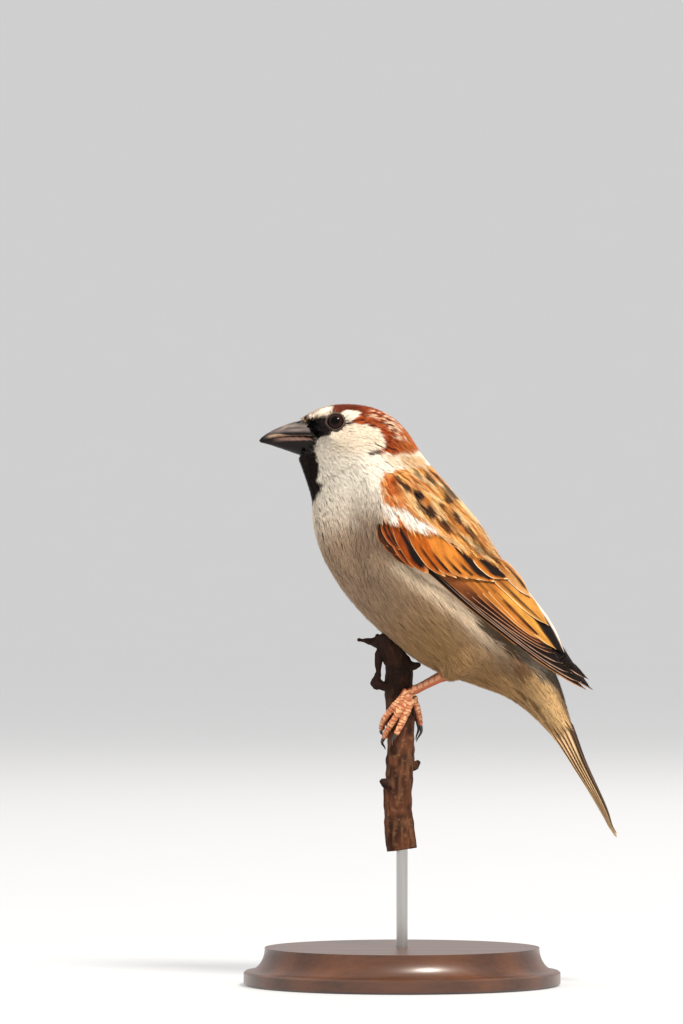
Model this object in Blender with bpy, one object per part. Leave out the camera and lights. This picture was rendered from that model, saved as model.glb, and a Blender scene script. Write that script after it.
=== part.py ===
"""Life-size museum model of a male house sparrow gripping a short, nearly upright branch.

The bird faces -X, its left side faces -Y, and +Z is up. The origin is the centre of the
underside of the round display base. All tables are in millimetres; the meshes are in metres.
"""

import math

import bmesh
import bpy
from mathutils import Vector

MM = 0.001
GAP = 0.3  # clearance between neighbouring pieces

# ---------------------------------------------------------------- driving dimensions

# Stations from the bill's root to the tail's tip:
# back x, back z, belly x, belly z, half width.
BODY = (
    (-27.3, 149.7, -27.8, 140.2, 3.6),  # 0 root of the bill
    (-25.2, 151.3, -27.3, 138.6, 4.7),
    (-21.7, 153.0, -26.5, 136.7, 6.4),
    (-17.8, 153.9, -25.7, 134.4, 8.4),  # 3 eyes
    (-13.2, 154.0, -24.9, 132.0, 10.0),
    (-8.0, 153.2, -24.1, 129.1, 11.0),  # 5 cheeks and crown
    (-2.9, 150.9, -23.9, 126.7, 12.0),
    (1.6, 146.5, -23.9, 124.0, 13.4),  # 7 nape
    (5.0, 141.0, -23.5, 120.6, 15.2),
    (9.3, 135.7, -21.5, 114.5, 17.4),
    (14.8, 129.3, -17.5, 107.1, 19.0),  # 10 mantle and breast
    (20.7, 122.2, -12.2, 100.2, 19.6),
    (25.2, 114.7, -6.1, 94.1, 19.3),
    (28.6, 108.4, 0.0, 89.0, 18.3),  # 13 belly
    (31.8, 102.6, 6.4, 84.5, 16.6),
    (34.7, 96.7, 13.2, 81.6, 14.2),
    (37.4, 90.9, 20.1, 79.2, 11.6),  # 16 rump
    (39.8, 85.3, 26.5, 77.0, 9.4),
    (41.9, 79.8, 32.1, 73.5, 7.8),  # 18 coverts of the tail
    (44.3, 72.3, 38.2, 67.3, 6.6),
    (46.5, 66.1, 41.9, 62.5, 6.2),  # 20 closed tail
    (48.8, 59.4, 45.3, 57.3, 6.4),
    (52.7, 50.9, 50.3, 49.6, 6.9),
    (55.4, 44.5, 53.7, 43.4, 7.3),
    (57.3, 38.4, 55.9, 38.0, 7.4),  # 24 tail tip
)
HEAD_END, NECK_END, TRUNK_END, RUMP_END = 5.6, 8.5, 15.5, 19.3
TAIL_TIP = len(BODY) - 1
STATION_GAP = 0.12  # parts two end sections by GAP or a little more
WIDEST = 0.47  # where across its depth the body is widest, from the back
TAIL_SQUARENESS = 0.55  # exponent of the tail's section; 1 is an ellipse
TAIL_NOTCH = 1.6
TAIL_CORNER = 2.4
BODY_SIDES = 24

EYE_CENTRE = (-17.65, 6.15, 149.35)  # x, distance from the midline, z
EYE_RADIUS = 2.75

# Stations of the bill from its tip back: x, ridge z, gape z, keel z, half width.
BILL = (
    (-37.9, 144.5, 144.1, 143.8, 0.2),
    (-37.2, 145.2, 144.3, 143.7, 0.7),
    (-35.5, 146.4, 144.7, 143.2, 1.4),
    (-33.2, 147.6, 145.1, 142.5, 2.2),
    (-30.5, 148.7, 145.3, 141.5, 2.95),
    (-27.8, 149.5, 145.4, 140.6, 3.55),
    (-24.6, 150.3, 145.3, 139.5, 3.95),
    (-21.6, 150.9, 144.9, 138.9, 4.1),
)
LOWER_BILL_START = 0.5  # station where the shorter lower half begins

# Stations of the folded left wing from its bend to its tip:
# lower edge x, z, y; upper edge x, z, y; y halfway; thickness. y is from the midline.
WING = (
    (-6.0, 132.6, 15.7, -4.2, 135.4, 14.6, 15.4, 2.0),
    (-6.9, 128.5, 17.3, -1.6, 136.7, 13.9, 16.9, 3.4),
    (-6.6, 121.6, 18.9, 2.1, 135.4, 13.5, 18.7, 4.5),
    (-3.7, 116.6, 20.0, 6.9, 131.4, 13.6, 20.0, 5.0),
    (0.8, 113.2, 20.7, 12.7, 125.6, 13.3, 20.5, 5.0),
    (6.1, 109.2, 20.9, 18.8, 119.2, 12.3, 20.2, 5.0),
    (11.7, 104.1, 20.3, 25.2, 113.2, 9.2, 18.9, 5.0),
    (18.0, 99.1, 18.7, 31.0, 108.1, 5.6, 16.4, 4.2),
    (24.9, 93.0, 15.9, 35.5, 102.3, 3.2, 13.0, 3.4),
    (31.8, 88.2, 12.5, 39.5, 96.5, 1.8, 9.4, 2.7),
    (38.7, 84.5, 8.7, 43.5, 89.8, 1.1, 6.2, 2.1),
    (46.4, 80.6, 4.6, 48.0, 82.7, 0.9, 3.4, 1.5),
    (50.2, 78.4, 2.5, 50.7, 79.0, 1.0, 1.8, 1.0),
)
WING_STEPS = 8  # divisions across the wing
WING_EDGE = 0.4  # share of the thickness left at the wing's two edges
COVERT_LINE = (16.7, 109.7)  # x, z of a point where the coverts' tips end
COVERT_LINE_TILT = math.radians(6)  # that line falls this much towards the tail

THIGH_AXIS = ((21.0, 12.4, 90.0), (16.2, 10.2, 85.8), (11.2, 7.2, 82.0))
THIGH_RADII = (3.4, 4.0, 2.1)
TARSUS_RADIUS = 1.05
TOE_RADIUS = 1.08
CLAW_RADIUS = 0.62
LEFT, RIGHT = -1, 1

# Axis of the branch from its cut foot up: x, y, z, radius.
PERCH = (
    (0.0, 0.8, 35.8, 4.1),
    (-0.9, 0.9, 43.0, 3.9),
    (-1.1, 0.7, 50.0, 3.75),
    (-0.6, 0.6, 58.0, 3.7),
    (-0.2, 0.8, 66.0, 3.7),
    (-0.6, 0.8, 74.0, 3.8),
    (-1.1, 0.8, 79.0, 3.9),
    (-0.7, 0.8, 84.0, 3.6),
    (-2.2, 0.8, 88.5, 3.7),
    (-4.3, 0.8, 93.4, 3.7),
)
PERCH_SIDES = 12
PERCH_RINGS = 16
# Spurs and buds on the branch, each a list of stations: x, y, z, radius.
LONG_TWIG = (
    (-3.4, 0.2, 89.7, 1.6),
    (-5.6, 0.0, 90.4, 1.7),
    (-7.6, -0.2, 90.9, 0.95),
    (-10.2, -0.4, 91.3, 0.75),
    (-12.0, -0.5, 91.5, 0.5),
)
TOP_BUD = ((-4.6, -0.1, 90.2, 1.3), (-6.1, -0.3, 91.9, 1.2), (-6.7, -0.3, 93.0, 0.5))
HANGING_TWIG = (
    (-3.2, 0.0, 89.0, 1.8),
    (-5.0, -0.3, 88.8, 1.9),
    (-6.1, -0.6, 87.4, 1.2),
    (-6.3, -0.7, 85.4, 0.8),
    (-6.2, -0.8, 83.0, 0.75),
    (-6.7, -0.9, 80.8, 1.1),
)
KNOT = (
    (-3.6, -0.4, 78.9, 1.2),
    (-5.4, -0.7, 79.3, 1.5),
    (-7.0, -0.9, 79.9, 1.8),
    (-8.3, -1.0, 80.6, 0.9),
)
RIGHT_THORN = ((1.4, -0.4, 84.1, 1.6), (3.2, -0.8, 84.6, 1.2), (4.9, -1.2, 84.9, 0.4))
LOW_LEFT_BUD = ((-1.6, -0.9, 52.4, 1.8), (-4.6, -1.9, 53.6, 1.3), (-5.8, -2.3, 54.5, 0.7))
LOW_RIGHT_BUD = ((0.6, 1.6, 57.2, 1.6), (3.5, 2.4, 58.2, 1.2), (4.7, 2.7, 59.3, 0.6))
SPURS = (LONG_TWIG, TOP_BUD, HANGING_TWIG, KNOT, RIGHT_THORN, LOW_LEFT_BUD, LOW_RIGHT_BUD)

# Each foot: angle round the branch and height of its pad, then its toes as
# (name, start angle, end angle, start height, end height). Angles are in degrees,
# measured from +X towards +Y round the branch's axis.
LEFT_FOOT = (
    (-55, 77.6),
    (
        ("toe2", -64, -178, 78.2, 67.8),
        ("toe3", -60, -152, 77.0, 65.6),
        ("toe4", -53, -106, 76.0, 66.6),
        ("hallux", -44, -10, 76.4, 69.0),
    ),
)
RIGHT_FOOT = (
    (56, 77.4),
    (
        ("toe2", 66, 126, 78.0, 70.3),
        ("toe3", 60, 106, 77.0, 67.0),
        ("toe4", 54, 78, 76.0, 66.6),
        ("hallux", 46, 32, 76.2, 69.8),
    ),
)
CLAW_LENGTHS = {"toe2": 3.2, "toe3": 3.8, "toe4": 3.2, "hallux": 4.8}

ROD_RADIUS = 1.5
ROD_BOTTOM, ROD_TOP = 3.0, 43.0
BASE_RADIUS, BASE_HEIGHT = 42.0, 10.0
BASE_SIDES = 36

# ---------------------------------------------------------------- interpolation


def along(table, position):
    """The row of a table at a position between its rows, on a Catmull-Rom curve."""
    last = len(table) - 1
    position = min(max(position, 0.0), last)
    index = min(int(position), last - 1)
    f = position - index

    def row(k):
        if k < 0:
            return [2 * a - b for a, b in zip(table[0], table[1])]
        if k > last:
            return [2 * a - b for a, b in zip(table[-1], table[-2])]
        return table[k]

    return [
        0.5
        * (
            2 * b
            + (c - a) * f
            + (2 * a - 5 * b + 4 * c - d) * f * f
            + (3 * b - a - 3 * c + d) * f**3
        )
        for a, b, c, d in zip(row(index - 1), row(index), row(index + 1), row(index + 2))
    ]


def mix(a, b, share):
    return a + (b - a) * share


def ease(value, low, high):
    """0 below low, 1 above high, and smooth between them."""
    share = min(max((value - low) / (high - low), 0.0), 1.0)
    return share * share * (3 - 2 * share)


def signed_power(value, power):
    return math.copysign(abs(value) ** power, value)


# ---------------------------------------------------------------- meshes


def material(name, colour, roughness, metallic=0.0):
    found = bpy.data.materials.get(name)
    if found:
        return found
    made = bpy.data.materials.new(name)
    made.use_nodes = True
    shader = made.node_tree.nodes["Principled BSDF"]
    shader.inputs["Base Color"].default_value = (*colour, 1.0)
    shader.inputs["Roughness"].default_value = roughness
    shader.inputs["Metallic"].default_value = metallic
    return made


PLUMAGE = ("plumage", (0.62, 0.54, 0.45), 0.9)
HEAD_PLUMAGE = ("head_plumage", (0.42, 0.24, 0.15), 0.9)
WING_PLUMAGE = ("wing_plumage", (0.55, 0.30, 0.12), 0.8)
FLIGHT = ("flight_feathers", (0.22, 0.15, 0.11), 0.7)
HORN = ("horn", (0.06, 0.055, 0.06), 0.4)
EYE = ("eye", (0.02, 0.012, 0.01), 0.05)
LEG = ("leg_skin", (0.55, 0.28, 0.18), 0.6)
CLAW = ("claw", (0.04, 0.03, 0.03), 0.4)
BARK = ("bark", (0.16, 0.11, 0.09), 0.9)
STEEL = ("steel", (0.55, 0.55, 0.56), 0.3, 1.0)
WOOD = ("base_wood", (0.10, 0.05, 0.03), 0.4)


def mesh_object(name, vertices, faces, finish):
    """A closed mesh from points in millimetres, with its faces turned outwards."""
    shape = bmesh.new()
    made = [shape.verts.new(Vector(v) * MM) for v in vertices]
    for face in faces:
        shape.faces.new([made[i] for i in face])
    bmesh.ops.recalc_face_normals(shape, faces=shape.faces)
    mesh = bpy.data.meshes.new(name)
    shape.to_mesh(mesh)
    shape.free()
    mesh.shade_smooth()
    mesh.set_sharp_from_angle(angle=math.radians(40))
    mesh.materials.append(material(*finish))
    obj = bpy.data.objects.new(name, mesh)
    bpy.context.scene.collection.objects.link(obj)
    return obj


def loft(name, rings, finish):
    """A closed tube through rings of equally many points, with a fan over each end."""
    sides = len(rings[0])
    vertices = [p for ring in rings for p in ring]
    faces = []
    for r in range(len(rings) - 1):
        for s in range(sides):
            a, b = r * sides + s, r * sides + (s + 1) % sides
            faces.append((a, b, b + sides, a + sides))
    for ring_index in (0, len(rings) - 1):
        ring = rings[ring_index]
        hub = len(vertices)
        vertices.append(sum((Vector(p) for p in ring), Vector()) / sides)
        start = ring_index * sides
        faces += [(start + s, start + (s + 1) % sides, hub) for s in range(sides)]
    return mesh_object(name, vertices, faces, finish)


def tube_rings(points, radii, sides, squash=1.0):
    """Round rings across a path. squash flattens them along the second cross direction."""
    rings = []
    side = Vector((0, 1, 0))
    for i, point in enumerate(points):
        ahead = points[min(i + 1, len(points) - 1)] - points[max(i - 1, 0)]
        ahead.normalize()
        if abs(ahead.dot(side)) > 0.95:
            side = Vector((0, 0, 1))
        up = ahead.cross(side).normalized()
        side = up.cross(ahead).normalized()
        rings.append(
            [
                point
                + side * radii[i] * math.cos(2 * math.pi * k / sides)
                + up * radii[i] * squash * math.sin(2 * math.pi * k / sides)
                for k in range(sides)
            ]
        )
    return rings


def boolean(obj, other, operation):
    """Cuts other from obj, or joins it to obj. other stays as a hidden guide."""
    change = obj.modifiers.new(f"{operation.lower()}_{other.name}", "BOOLEAN")
    change.operation = operation
    change.object = other
    change.solver = "EXACT"
    other.hide_render = True
    other.display_type = "WIRE"


# ---------------------------------------------------------------- head, neck, trunk, tail


def body_ring(position, grow=0.0):
    """The body's section at a station, as points from the back round to the back."""
    back_x, back_z, belly_x, belly_z, half_width = along(BODY, position)
    back = Vector((back_x, 0, back_z))
    belly = Vector((belly_x, 0, belly_z))
    centre = back.lerp(belly, WIDEST)
    up, down = back - centre, belly - centre
    up += up.normalized() * grow
    down += down.normalized() * grow
    power = mix(1.0, TAIL_SQUARENESS, ease(position, RUMP_END - 0.8, RUMP_END + 1.2))
    ring = []
    for k in range(BODY_SIDES):
        angle = 2 * math.pi * k / BODY_SIDES
        height = signed_power(math.cos(angle), power)
        across = signed_power(math.sin(angle), power)
        arm = up * height if height > 0 else down * -height
        ring.append(centre + arm + Vector((0, (half_width + grow) * across, 0)))
    return ring


def body_rings(start, end, steps, grow=0.0):
    return [body_ring(mix(start, end, k / steps), grow) for k in range(steps + 1)]


def tail_end(ring, position):
    """Rounds the tail's two corners and notches its middle near the tip."""
    share = ease(position, TAIL_TIP - 1.5, TAIL_TIP)
    backwards = Vector((0.33, 0, -0.94))
    shaped = []
    for point in ring:
        across = abs(point.y) / max(abs(p.y) for p in ring)
        pull = TAIL_NOTCH * (1 - across) ** 2 + TAIL_CORNER * across**4
        shaped.append(point - backwards * pull * share)
    return shaped


def make_body():
    eyes = [eye(side, EYE_RADIUS + GAP, "cutter") for side in (LEFT, RIGHT)]
    cutter = loft("cutter_bill", bill_rings(0.0, GAP), HORN)
    half = STATION_GAP / 2
    head = loft("head", body_rings(0.0, HEAD_END - half, 11), HEAD_PLUMAGE)
    for tool in (*eyes, cutter):
        boolean(head, tool, "DIFFERENCE")
    loft("neck", body_rings(HEAD_END + half, NECK_END - half, 6), PLUMAGE)
    loft("trunk", body_rings(NECK_END + half, TRUNK_END - half, 12), PLUMAGE)
    loft("rump", body_rings(TRUNK_END + half, RUMP_END - half, 7), PLUMAGE)
    steps = 9
    tail = [mix(RUMP_END + half, TAIL_TIP, k / steps) for k in range(steps + 1)]
    loft("tail", [tail_end(body_ring(t), t) for t in tail], FLIGHT)


def body_cutter(name):
    """The whole body grown by the clearance, to cut what lies against it."""
    return loft(f"cutter_body_{name}", body_rings(4.0, 21.0, 24, GAP), PLUMAGE)


# ---------------------------------------------------------------- eyes and bill


def eye(side, radius=EYE_RADIUS, prefix="eye"):
    x, y, z = EYE_CENTRE
    shape = bmesh.new()
    bmesh.ops.create_uvsphere(shape, u_segments=16, v_segments=8, radius=radius * MM)
    bmesh.ops.rotate(shape, verts=shape.verts, matrix=turn_to_side())
    bmesh.ops.translate(shape, verts=shape.verts, vec=Vector((x, y * side, z)) * MM)
    name = f"{prefix}_{'left' if side == LEFT else 'right'}"
    mesh = bpy.data.meshes.new(name)
    shape.to_mesh(mesh)
    shape.free()
    mesh.shade_smooth()
    mesh.materials.append(material(*EYE))
    obj = bpy.data.objects.new(name, mesh)
    bpy.context.scene.collection.objects.link(obj)
    return obj


def turn_to_side():
    """Lays a sphere's poles along Y, so that its rings run round the pupil."""
    return Vector((0, 0, 1)).rotation_difference(Vector((0, 1, 0))).to_matrix()


def bill_rings(start, grow=0.0, half="both"):
    """Sections of the bill from a station back to its root; half picks one jaw."""
    rings = []
    steps = 11
    last = len(BILL) - 1
    for k in range(steps + 1):
        position = mix(start, last, k / steps)
        x, ridge, gape, keel, half_width = along(BILL, position)
        if k == steps:
            x += grow
        ring = []
        arc = 8
        upper_arc = [math.pi * i / arc for i in range(arc + 1)]
        width = half_width + grow
        if half in ("both", "upper"):
            floor = gape + (GAP / 2 if half == "upper" else 0.0)
            height = max(ridge + grow - floor, 0.15)
            for angle in upper_arc:
                lift = math.sin(angle) ** 0.85 * height
                ring.append(Vector((x, width * math.cos(angle), floor + lift)))
        if half in ("both", "lower"):
            ceiling = gape - (GAP / 2 if half == "lower" else 0.0)
            depth = max(ceiling - keel + grow, 0.15)
            inner = upper_arc[1:-1] if half == "both" else upper_arc
            for angle in inner:
                drop = math.sin(angle) ** 0.85 * depth
                ring.append(Vector((x, -width * math.cos(angle), ceiling - drop)))
        rings.append(ring)
    return rings


def make_bill():
    loft("bill_upper", bill_rings(0.0, 0.0, "upper"), HORN)
    loft("bill_lower", bill_rings(LOWER_BILL_START, 0.0, "lower"), HORN)


# ---------------------------------------------------------------- wings


def wing_point(row, share, side):
    """A point of the wing's outer surface, from its lower edge (0) to its upper (1)."""
    low_x, low_z, low_y, high_x, high_z, high_y, mid_y, _ = row
    y = (
        low_y * (1 - share) * (1 - 2 * share)
        + 4 * mid_y * share * (1 - share)
        + high_y * share * (2 * share - 1)
    )
    return Vector((mix(low_x, high_x, share), side * y, mix(low_z, high_z, share)))


def wing_rings(side):
    rings = []
    stations = 2 * (len(WING) - 1)
    for k in range(stations + 1):
        position = k / 2
        row = along(WING, position)
        before, after = along(WING, position - 0.2), along(WING, position + 0.2)
        outer, inner = [], []
        for i in range(WING_STEPS + 1):
            share = i / WING_STEPS
            point = wing_point(row, share, side)
            across = wing_point(row, share + 0.05, side) - wing_point(row, share - 0.05, side)
            axis = wing_point(after, share, side) - wing_point(before, share, side)
            outwards = across.cross(axis).normalized()
            if outwards.y * side < 0:
                outwards.negate()
            depth = row[-1] * mix(WING_EDGE, 1.0, math.sin(math.pi * share))
            outer.append(point)
            inner.append(point - outwards * depth)
        rings.append(outer + inner[::-1])
    return rings


def half_space(name, tail_side):
    """A block on one side of the line where the coverts end."""
    x, z = COVERT_LINE
    run = Vector((math.cos(COVERT_LINE_TILT), 0, -math.sin(COVERT_LINE_TILT)))
    away = Vector((-run.z, 0, run.x)) * (-1 if tail_side else 1)
    near = Vector((x, 0, z)) - away * GAP / 2
    reach = 70.0
    corners = []
    for y in (-reach, reach):
        for along_run, out in ((-1, 0), (1, 0), (1, 1), (-1, 1)):
            corners.append(near + run * reach * along_run + away * reach * out + Vector((0, y, 0)))
    faces = ((0, 1, 2, 3), (7, 6, 5, 4), (0, 4, 5, 1), (1, 5, 6, 2), (2, 6, 7, 3), (3, 7, 4, 0))
    return mesh_object(name, corners, faces, PLUMAGE)


def make_wings():
    for side, word in ((LEFT, "left"), (RIGHT, "right")):
        for group, tail_side, finish in (
            ("coverts", True, WING_PLUMAGE),
            ("flight", False, FLIGHT),
        ):
            wing = loft(f"wing_{word}_{group}", wing_rings(side), finish)
            boolean(wing, body_cutter(f"{group}_{word}"), "DIFFERENCE")
            boolean(wing, half_space(f"cutter_{group}_{word}", tail_side), "DIFFERENCE")


# ---------------------------------------------------------------- legs


def on_side(point, side):
    x, y, z = point
    return Vector((x, side * y, z))


def perch_axis(height):
    """The centre of the branch at a height, and its radius there."""
    low, high = 0.0, len(PERCH) - 1.0
    for _ in range(30):
        middle = (low + high) / 2
        if along(PERCH, middle)[2] < height:
            low = middle
        else:
            high = middle
    x, y, z, radius = along(PERCH, low)
    return Vector((x, y, z)), radius


def round_perch(angle, height, clearance):
    """A point beside the branch, a clearance away from its bark."""
    centre, radius = perch_axis(height)
    turn = math.radians(angle)
    reach = radius + clearance
    return centre + Vector((math.cos(turn) * reach, math.sin(turn) * reach, 0))


def make_thigh(side, word, rise):
    lift = Vector((0, 0, rise))
    path = [on_side(p, side) + lift for p in THIGH_AXIS]
    points, radii = [], []
    steps = 7
    table = [(*p, r) for p, r in zip(path, THIGH_RADII)]
    for k in range(steps + 1):
        x, y, z, radius = along(table, k * (len(table) - 1) / steps)
        points.append(Vector((x, y, z)))
        radii.append(radius)
    thigh = loft(f"thigh_{word}", tube_rings(points, radii, 14), PLUMAGE)
    boolean(thigh, body_cutter(f"thigh_{word}"), "DIFFERENCE")
    return points[-1], (points[-1] - points[-2]).normalized()


def make_leg(side, word, foot, rise):
    thigh_end, direction = make_thigh(side, word, rise)
    (pad_angle, pad_height), toes = foot
    pad_radius = 1.35
    pad = round_perch(pad_angle, pad_height, GAP + pad_radius)
    top = thigh_end + direction * (GAP + 0.2)
    points, radii = [], []
    steps = 6
    for k in range(steps + 1):
        share = k / steps
        points.append(top.lerp(pad, share))
        swell = ease(share, 0.6, 1.0) * 0.3 + ease(1 - share, 0.7, 1.0) * 0.1
        radii.append(TARSUS_RADIUS + swell)
    # The tarsus stops short of the foot's pad.
    stop = (pad - top).normalized()
    points = [p for p in points if (pad - p).dot(stop) > 2.2] + [pad - stop * 1.7]
    radii = radii[: len(points)]
    loft(f"tarsus_{word}", tube_rings(points, radii, 10), LEG)
    make_foot(side, word, pad, pad_radius, toes, stop)


def toe_path(toe, steps):
    """Centre line of a toe, from inside the pad on round the branch."""
    _, start_angle, end_angle, start_height, end_height = toe
    points = []
    for k in range(steps + 1):
        share = k / steps
        angle = mix(start_angle, end_angle, share)
        height = mix(start_height, end_height, share**0.9)
        points.append(round_perch(angle, height, GAP + TOE_RADIUS * 1.08))
    return points


def make_foot(side, word, pad, pad_radius, toes, stop):
    knuckles = 8
    body = None
    for toe in toes:
        points = toe_path(toe, knuckles)
        radii = []
        for k in range(len(points)):
            share = k / (len(points) - 1)
            joint = 0.07 * math.cos(share * 6 * math.pi)
            radii.append(mix(TOE_RADIUS, TOE_RADIUS * 0.78, share) * (1 + joint))
        name = f"foot_{word}" if body is None else f"join_{toe[0]}_{word}"
        piece = loft(name, tube_rings(points, radii, 8), LEG)
        if body is None:
            body = piece
        else:
            boolean(body, piece, "UNION")
        make_claw(f"claw_{toe[0]}_{word}", points, CLAW_LENGTHS[toe[0]])
    ankle = [pad - stop * 1.4, pad, pad + stop * 0.6]
    knob = loft(f"join_pad_{word}", tube_rings(ankle, [1.15, pad_radius, 0.8], 8), LEG)
    boolean(body, knob, "UNION")


def make_claw(name, toe, length):
    """A curved claw that goes on from the toe's end and hooks in towards the bark."""
    tip = toe[-1]
    ahead = (toe[-1] - toe[-2]).normalized()
    centre, radius = perch_axis(tip.z)
    outwards = Vector((tip.x - centre.x, tip.y - centre.y, 0)).normalized()
    points, radii = [], []
    steps = 5
    for k in range(steps + 1):
        share = k / steps
        point = tip + ahead * (GAP + length * share) + outwards * 0.25 * math.sin(math.pi * share)
        axis, bark = perch_axis(point.z)
        flat = Vector((point.x - axis.x, point.y - axis.y, 0))
        thickness = mix(CLAW_RADIUS, 0.12, share)
        least = bark + GAP + thickness * 1.1
        if flat.length < least or share > 0.3:
            reach = mix(max(flat.length, least), least, ease(share, 0.2, 0.9))
            point = axis + flat.normalized() * reach + Vector((0, 0, point.z - axis.z))
        points.append(point)
        radii.append(thickness)
    loft(name, tube_rings(points, radii, 7), CLAW)


# ---------------------------------------------------------------- branch and stand


def make_perch():
    points, radii = [], []
    for k in range(PERCH_RINGS + 1):
        x, y, z, radius = along(PERCH, k * (len(PERCH) - 1) / PERCH_RINGS)
        points.append(Vector((x, y, z)))
        radii.append(radius)
    perch = loft("perch", tube_rings(points, radii, PERCH_SIDES), BARK)
    for number, spur in enumerate(SPURS, 1):
        path = [Vector(station[:3]) for station in spur]
        girth = [station[3] for station in spur]
        boolean(perch, loft(f"join_spur_{number}", tube_rings(path, girth, 7), BARK), "UNION")
    boolean(perch, body_cutter("perch"), "DIFFERENCE")
    hole = rod("cutter_perch_hole", ROD_BOTTOM, ROD_TOP + GAP, ROD_RADIUS + GAP)
    boolean(perch, hole, "DIFFERENCE")


def rod(name, bottom, top, radius):
    foot_x, foot_y = PERCH[0][:2]
    heights = [mix(bottom, top, k / 4) for k in range(5)]
    path = [Vector((foot_x, foot_y, z)) for z in heights]
    return loft(name, tube_rings(path, [radius] * 5, 20), STEEL)


def make_stand():
    rod("stand_rod", ROD_BOTTOM, ROD_TOP, ROD_RADIUS)
    # Outline of the turned base: a small chamfer, an upright rim, a cove and a flat top.
    profile = [(BASE_RADIUS - 0.6, 0.0), (BASE_RADIUS, 0.6), (BASE_RADIUS, 3.4)]
    cove = 4.6
    for k in range(5):
        angle = math.pi / 2 * k / 4
        profile.append(
            (
                BASE_RADIUS - 1.0 - cove * math.sin(angle),
                3.8 + (BASE_HEIGHT - 3.8) * (1 - math.cos(angle)),
            )
        )
    turns = [2 * math.pi * k / BASE_SIDES for k in range(BASE_SIDES)]
    rings = [[Vector((r * math.cos(a), r * math.sin(a), z)) for a in turns] for r, z in profile]
    base = loft("stand_base", rings, WOOD)
    hole = rod("cutter_base_hole", ROD_BOTTOM - GAP, ROD_TOP, ROD_RADIUS + GAP)
    boolean(base, hole, "DIFFERENCE")


def main():
    for obj in list(bpy.data.objects):
        bpy.data.objects.remove(obj)
    make_body()
    make_bill()
    for side in (LEFT, RIGHT):
        eye(side)
    make_wings()
    make_leg(LEFT, "left", LEFT_FOOT, 0.0)
    make_leg(RIGHT, "right", RIGHT_FOOT, 0.6)
    make_perch()
    make_stand()


main()
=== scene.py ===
"""The looks of the house sparrow: skin, feathers, bill, eyes, feet, branch, stand and studio.

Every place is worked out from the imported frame. Lengths in the tables are millimetres.
"""

import math
from itertools import product

import bmesh
import bpy
import numpy as np
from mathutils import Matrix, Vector
from mathutils.bvhtree import BVHTree


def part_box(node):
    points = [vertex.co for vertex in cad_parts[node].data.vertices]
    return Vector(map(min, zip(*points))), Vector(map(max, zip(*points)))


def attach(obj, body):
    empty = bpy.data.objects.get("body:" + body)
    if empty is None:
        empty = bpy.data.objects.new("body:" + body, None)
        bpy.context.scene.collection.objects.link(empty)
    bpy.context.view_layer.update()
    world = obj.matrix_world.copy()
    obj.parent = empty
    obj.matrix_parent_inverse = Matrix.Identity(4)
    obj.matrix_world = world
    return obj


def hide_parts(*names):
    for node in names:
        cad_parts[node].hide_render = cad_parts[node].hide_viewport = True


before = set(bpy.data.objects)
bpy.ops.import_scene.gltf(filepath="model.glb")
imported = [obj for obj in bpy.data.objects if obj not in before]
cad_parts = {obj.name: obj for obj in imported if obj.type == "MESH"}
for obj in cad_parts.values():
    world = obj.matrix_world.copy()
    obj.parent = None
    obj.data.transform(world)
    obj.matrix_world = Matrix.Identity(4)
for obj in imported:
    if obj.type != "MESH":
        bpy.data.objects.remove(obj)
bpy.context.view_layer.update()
MM = 0.001
LEFT, RIGHT = -1, 1
SIDES = ((LEFT, "left"), (RIGHT, "right"))
rng = np.random.default_rng(11)

# ---------------------------------------------------------------- sums on arrays


def smooth(value, low, high):
    """0 below low, 1 above high, smooth between them."""
    share = np.clip((value - low) / (high - low), 0.0, 1.0)
    return share * share * (3 - 2 * share)


def fade(value, low, high):
    """1 below low, 0 above high, smooth between them."""
    return 1 - smooth(value, low, high)


def mix(a, b, share):
    """Rows between a and b, each by its own share."""
    share = np.asarray(share)[..., None]
    return a * (1 - share) + b * share


def between(a, b, share):
    """Numbers between a and b, each by its own share."""
    return a + (b - a) * share


def unit(vectors):
    return vectors / np.maximum(np.linalg.norm(vectors, axis=-1, keepdims=True), 1e-12)


def linear(*srgb):
    """A colour given as red, green and blue of 0 to 255 on a screen, as linear light."""
    c = np.array(srgb, float) / 255
    return np.where(c <= 0.04045, c / 12.92, ((c + 0.055) / 1.055) ** 2.4)


def layered(base, *layers):
    """Colours from a base and colours laid over it in turn, each by its own amounts."""
    colour = base if isinstance(base, np.ndarray) else linear(*base)
    for over, amount in layers:
        colour = mix(colour, over if isinstance(over, np.ndarray) else linear(*over), amount)
    return colour


def noise(points, size, seed=0):
    """Smooth noise from 0 to 1 whose lumps are about size metres wide."""
    grid = points / size
    cell = np.floor(grid).astype(np.int64)
    share = grid - cell
    share = share * share * (3 - 2 * share)
    total = np.zeros(len(points))
    for corner in range(8):
        step = np.array([(corner >> k) & 1 for k in range(3)])
        at = cell + step
        key = (at[:, 0] * 73856093) ^ (at[:, 1] * 19349663) ^ (at[:, 2] * 83492791)
        key = (key ^ (seed * 7919 + 13)) & 0x7FFFFFFF
        key = ((key ^ (key >> 13)) * 1274126177) & 0x7FFFFFFF
        value = ((key ^ (key >> 16)) & 0xFFFF) / 65535.0
        total += value * np.prod(np.where(step, share, 1 - share), axis=1)
    return total


def lumps(seed, *coordinates):
    """Smooth noise whose lumps are about one wide in each coordinate."""
    return noise(np.stack(coordinates, 1), 1.0, seed)


def stroke_distance(x, z, path):
    """Distance of points from an open line."""
    nearest = np.full(len(x), 1e9)
    for (x0, z0), (x1, z1) in zip(path, path[1:]):
        dx, dz = x1 - x0, z1 - z0
        along = np.clip(((x - x0) * dx + (z - z0) * dz) / (dx * dx + dz * dz), 0, 1)
        nearest = np.minimum(nearest, np.hypot(x - x0 - dx * along, z - z0 - dz * along))
    return nearest


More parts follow.
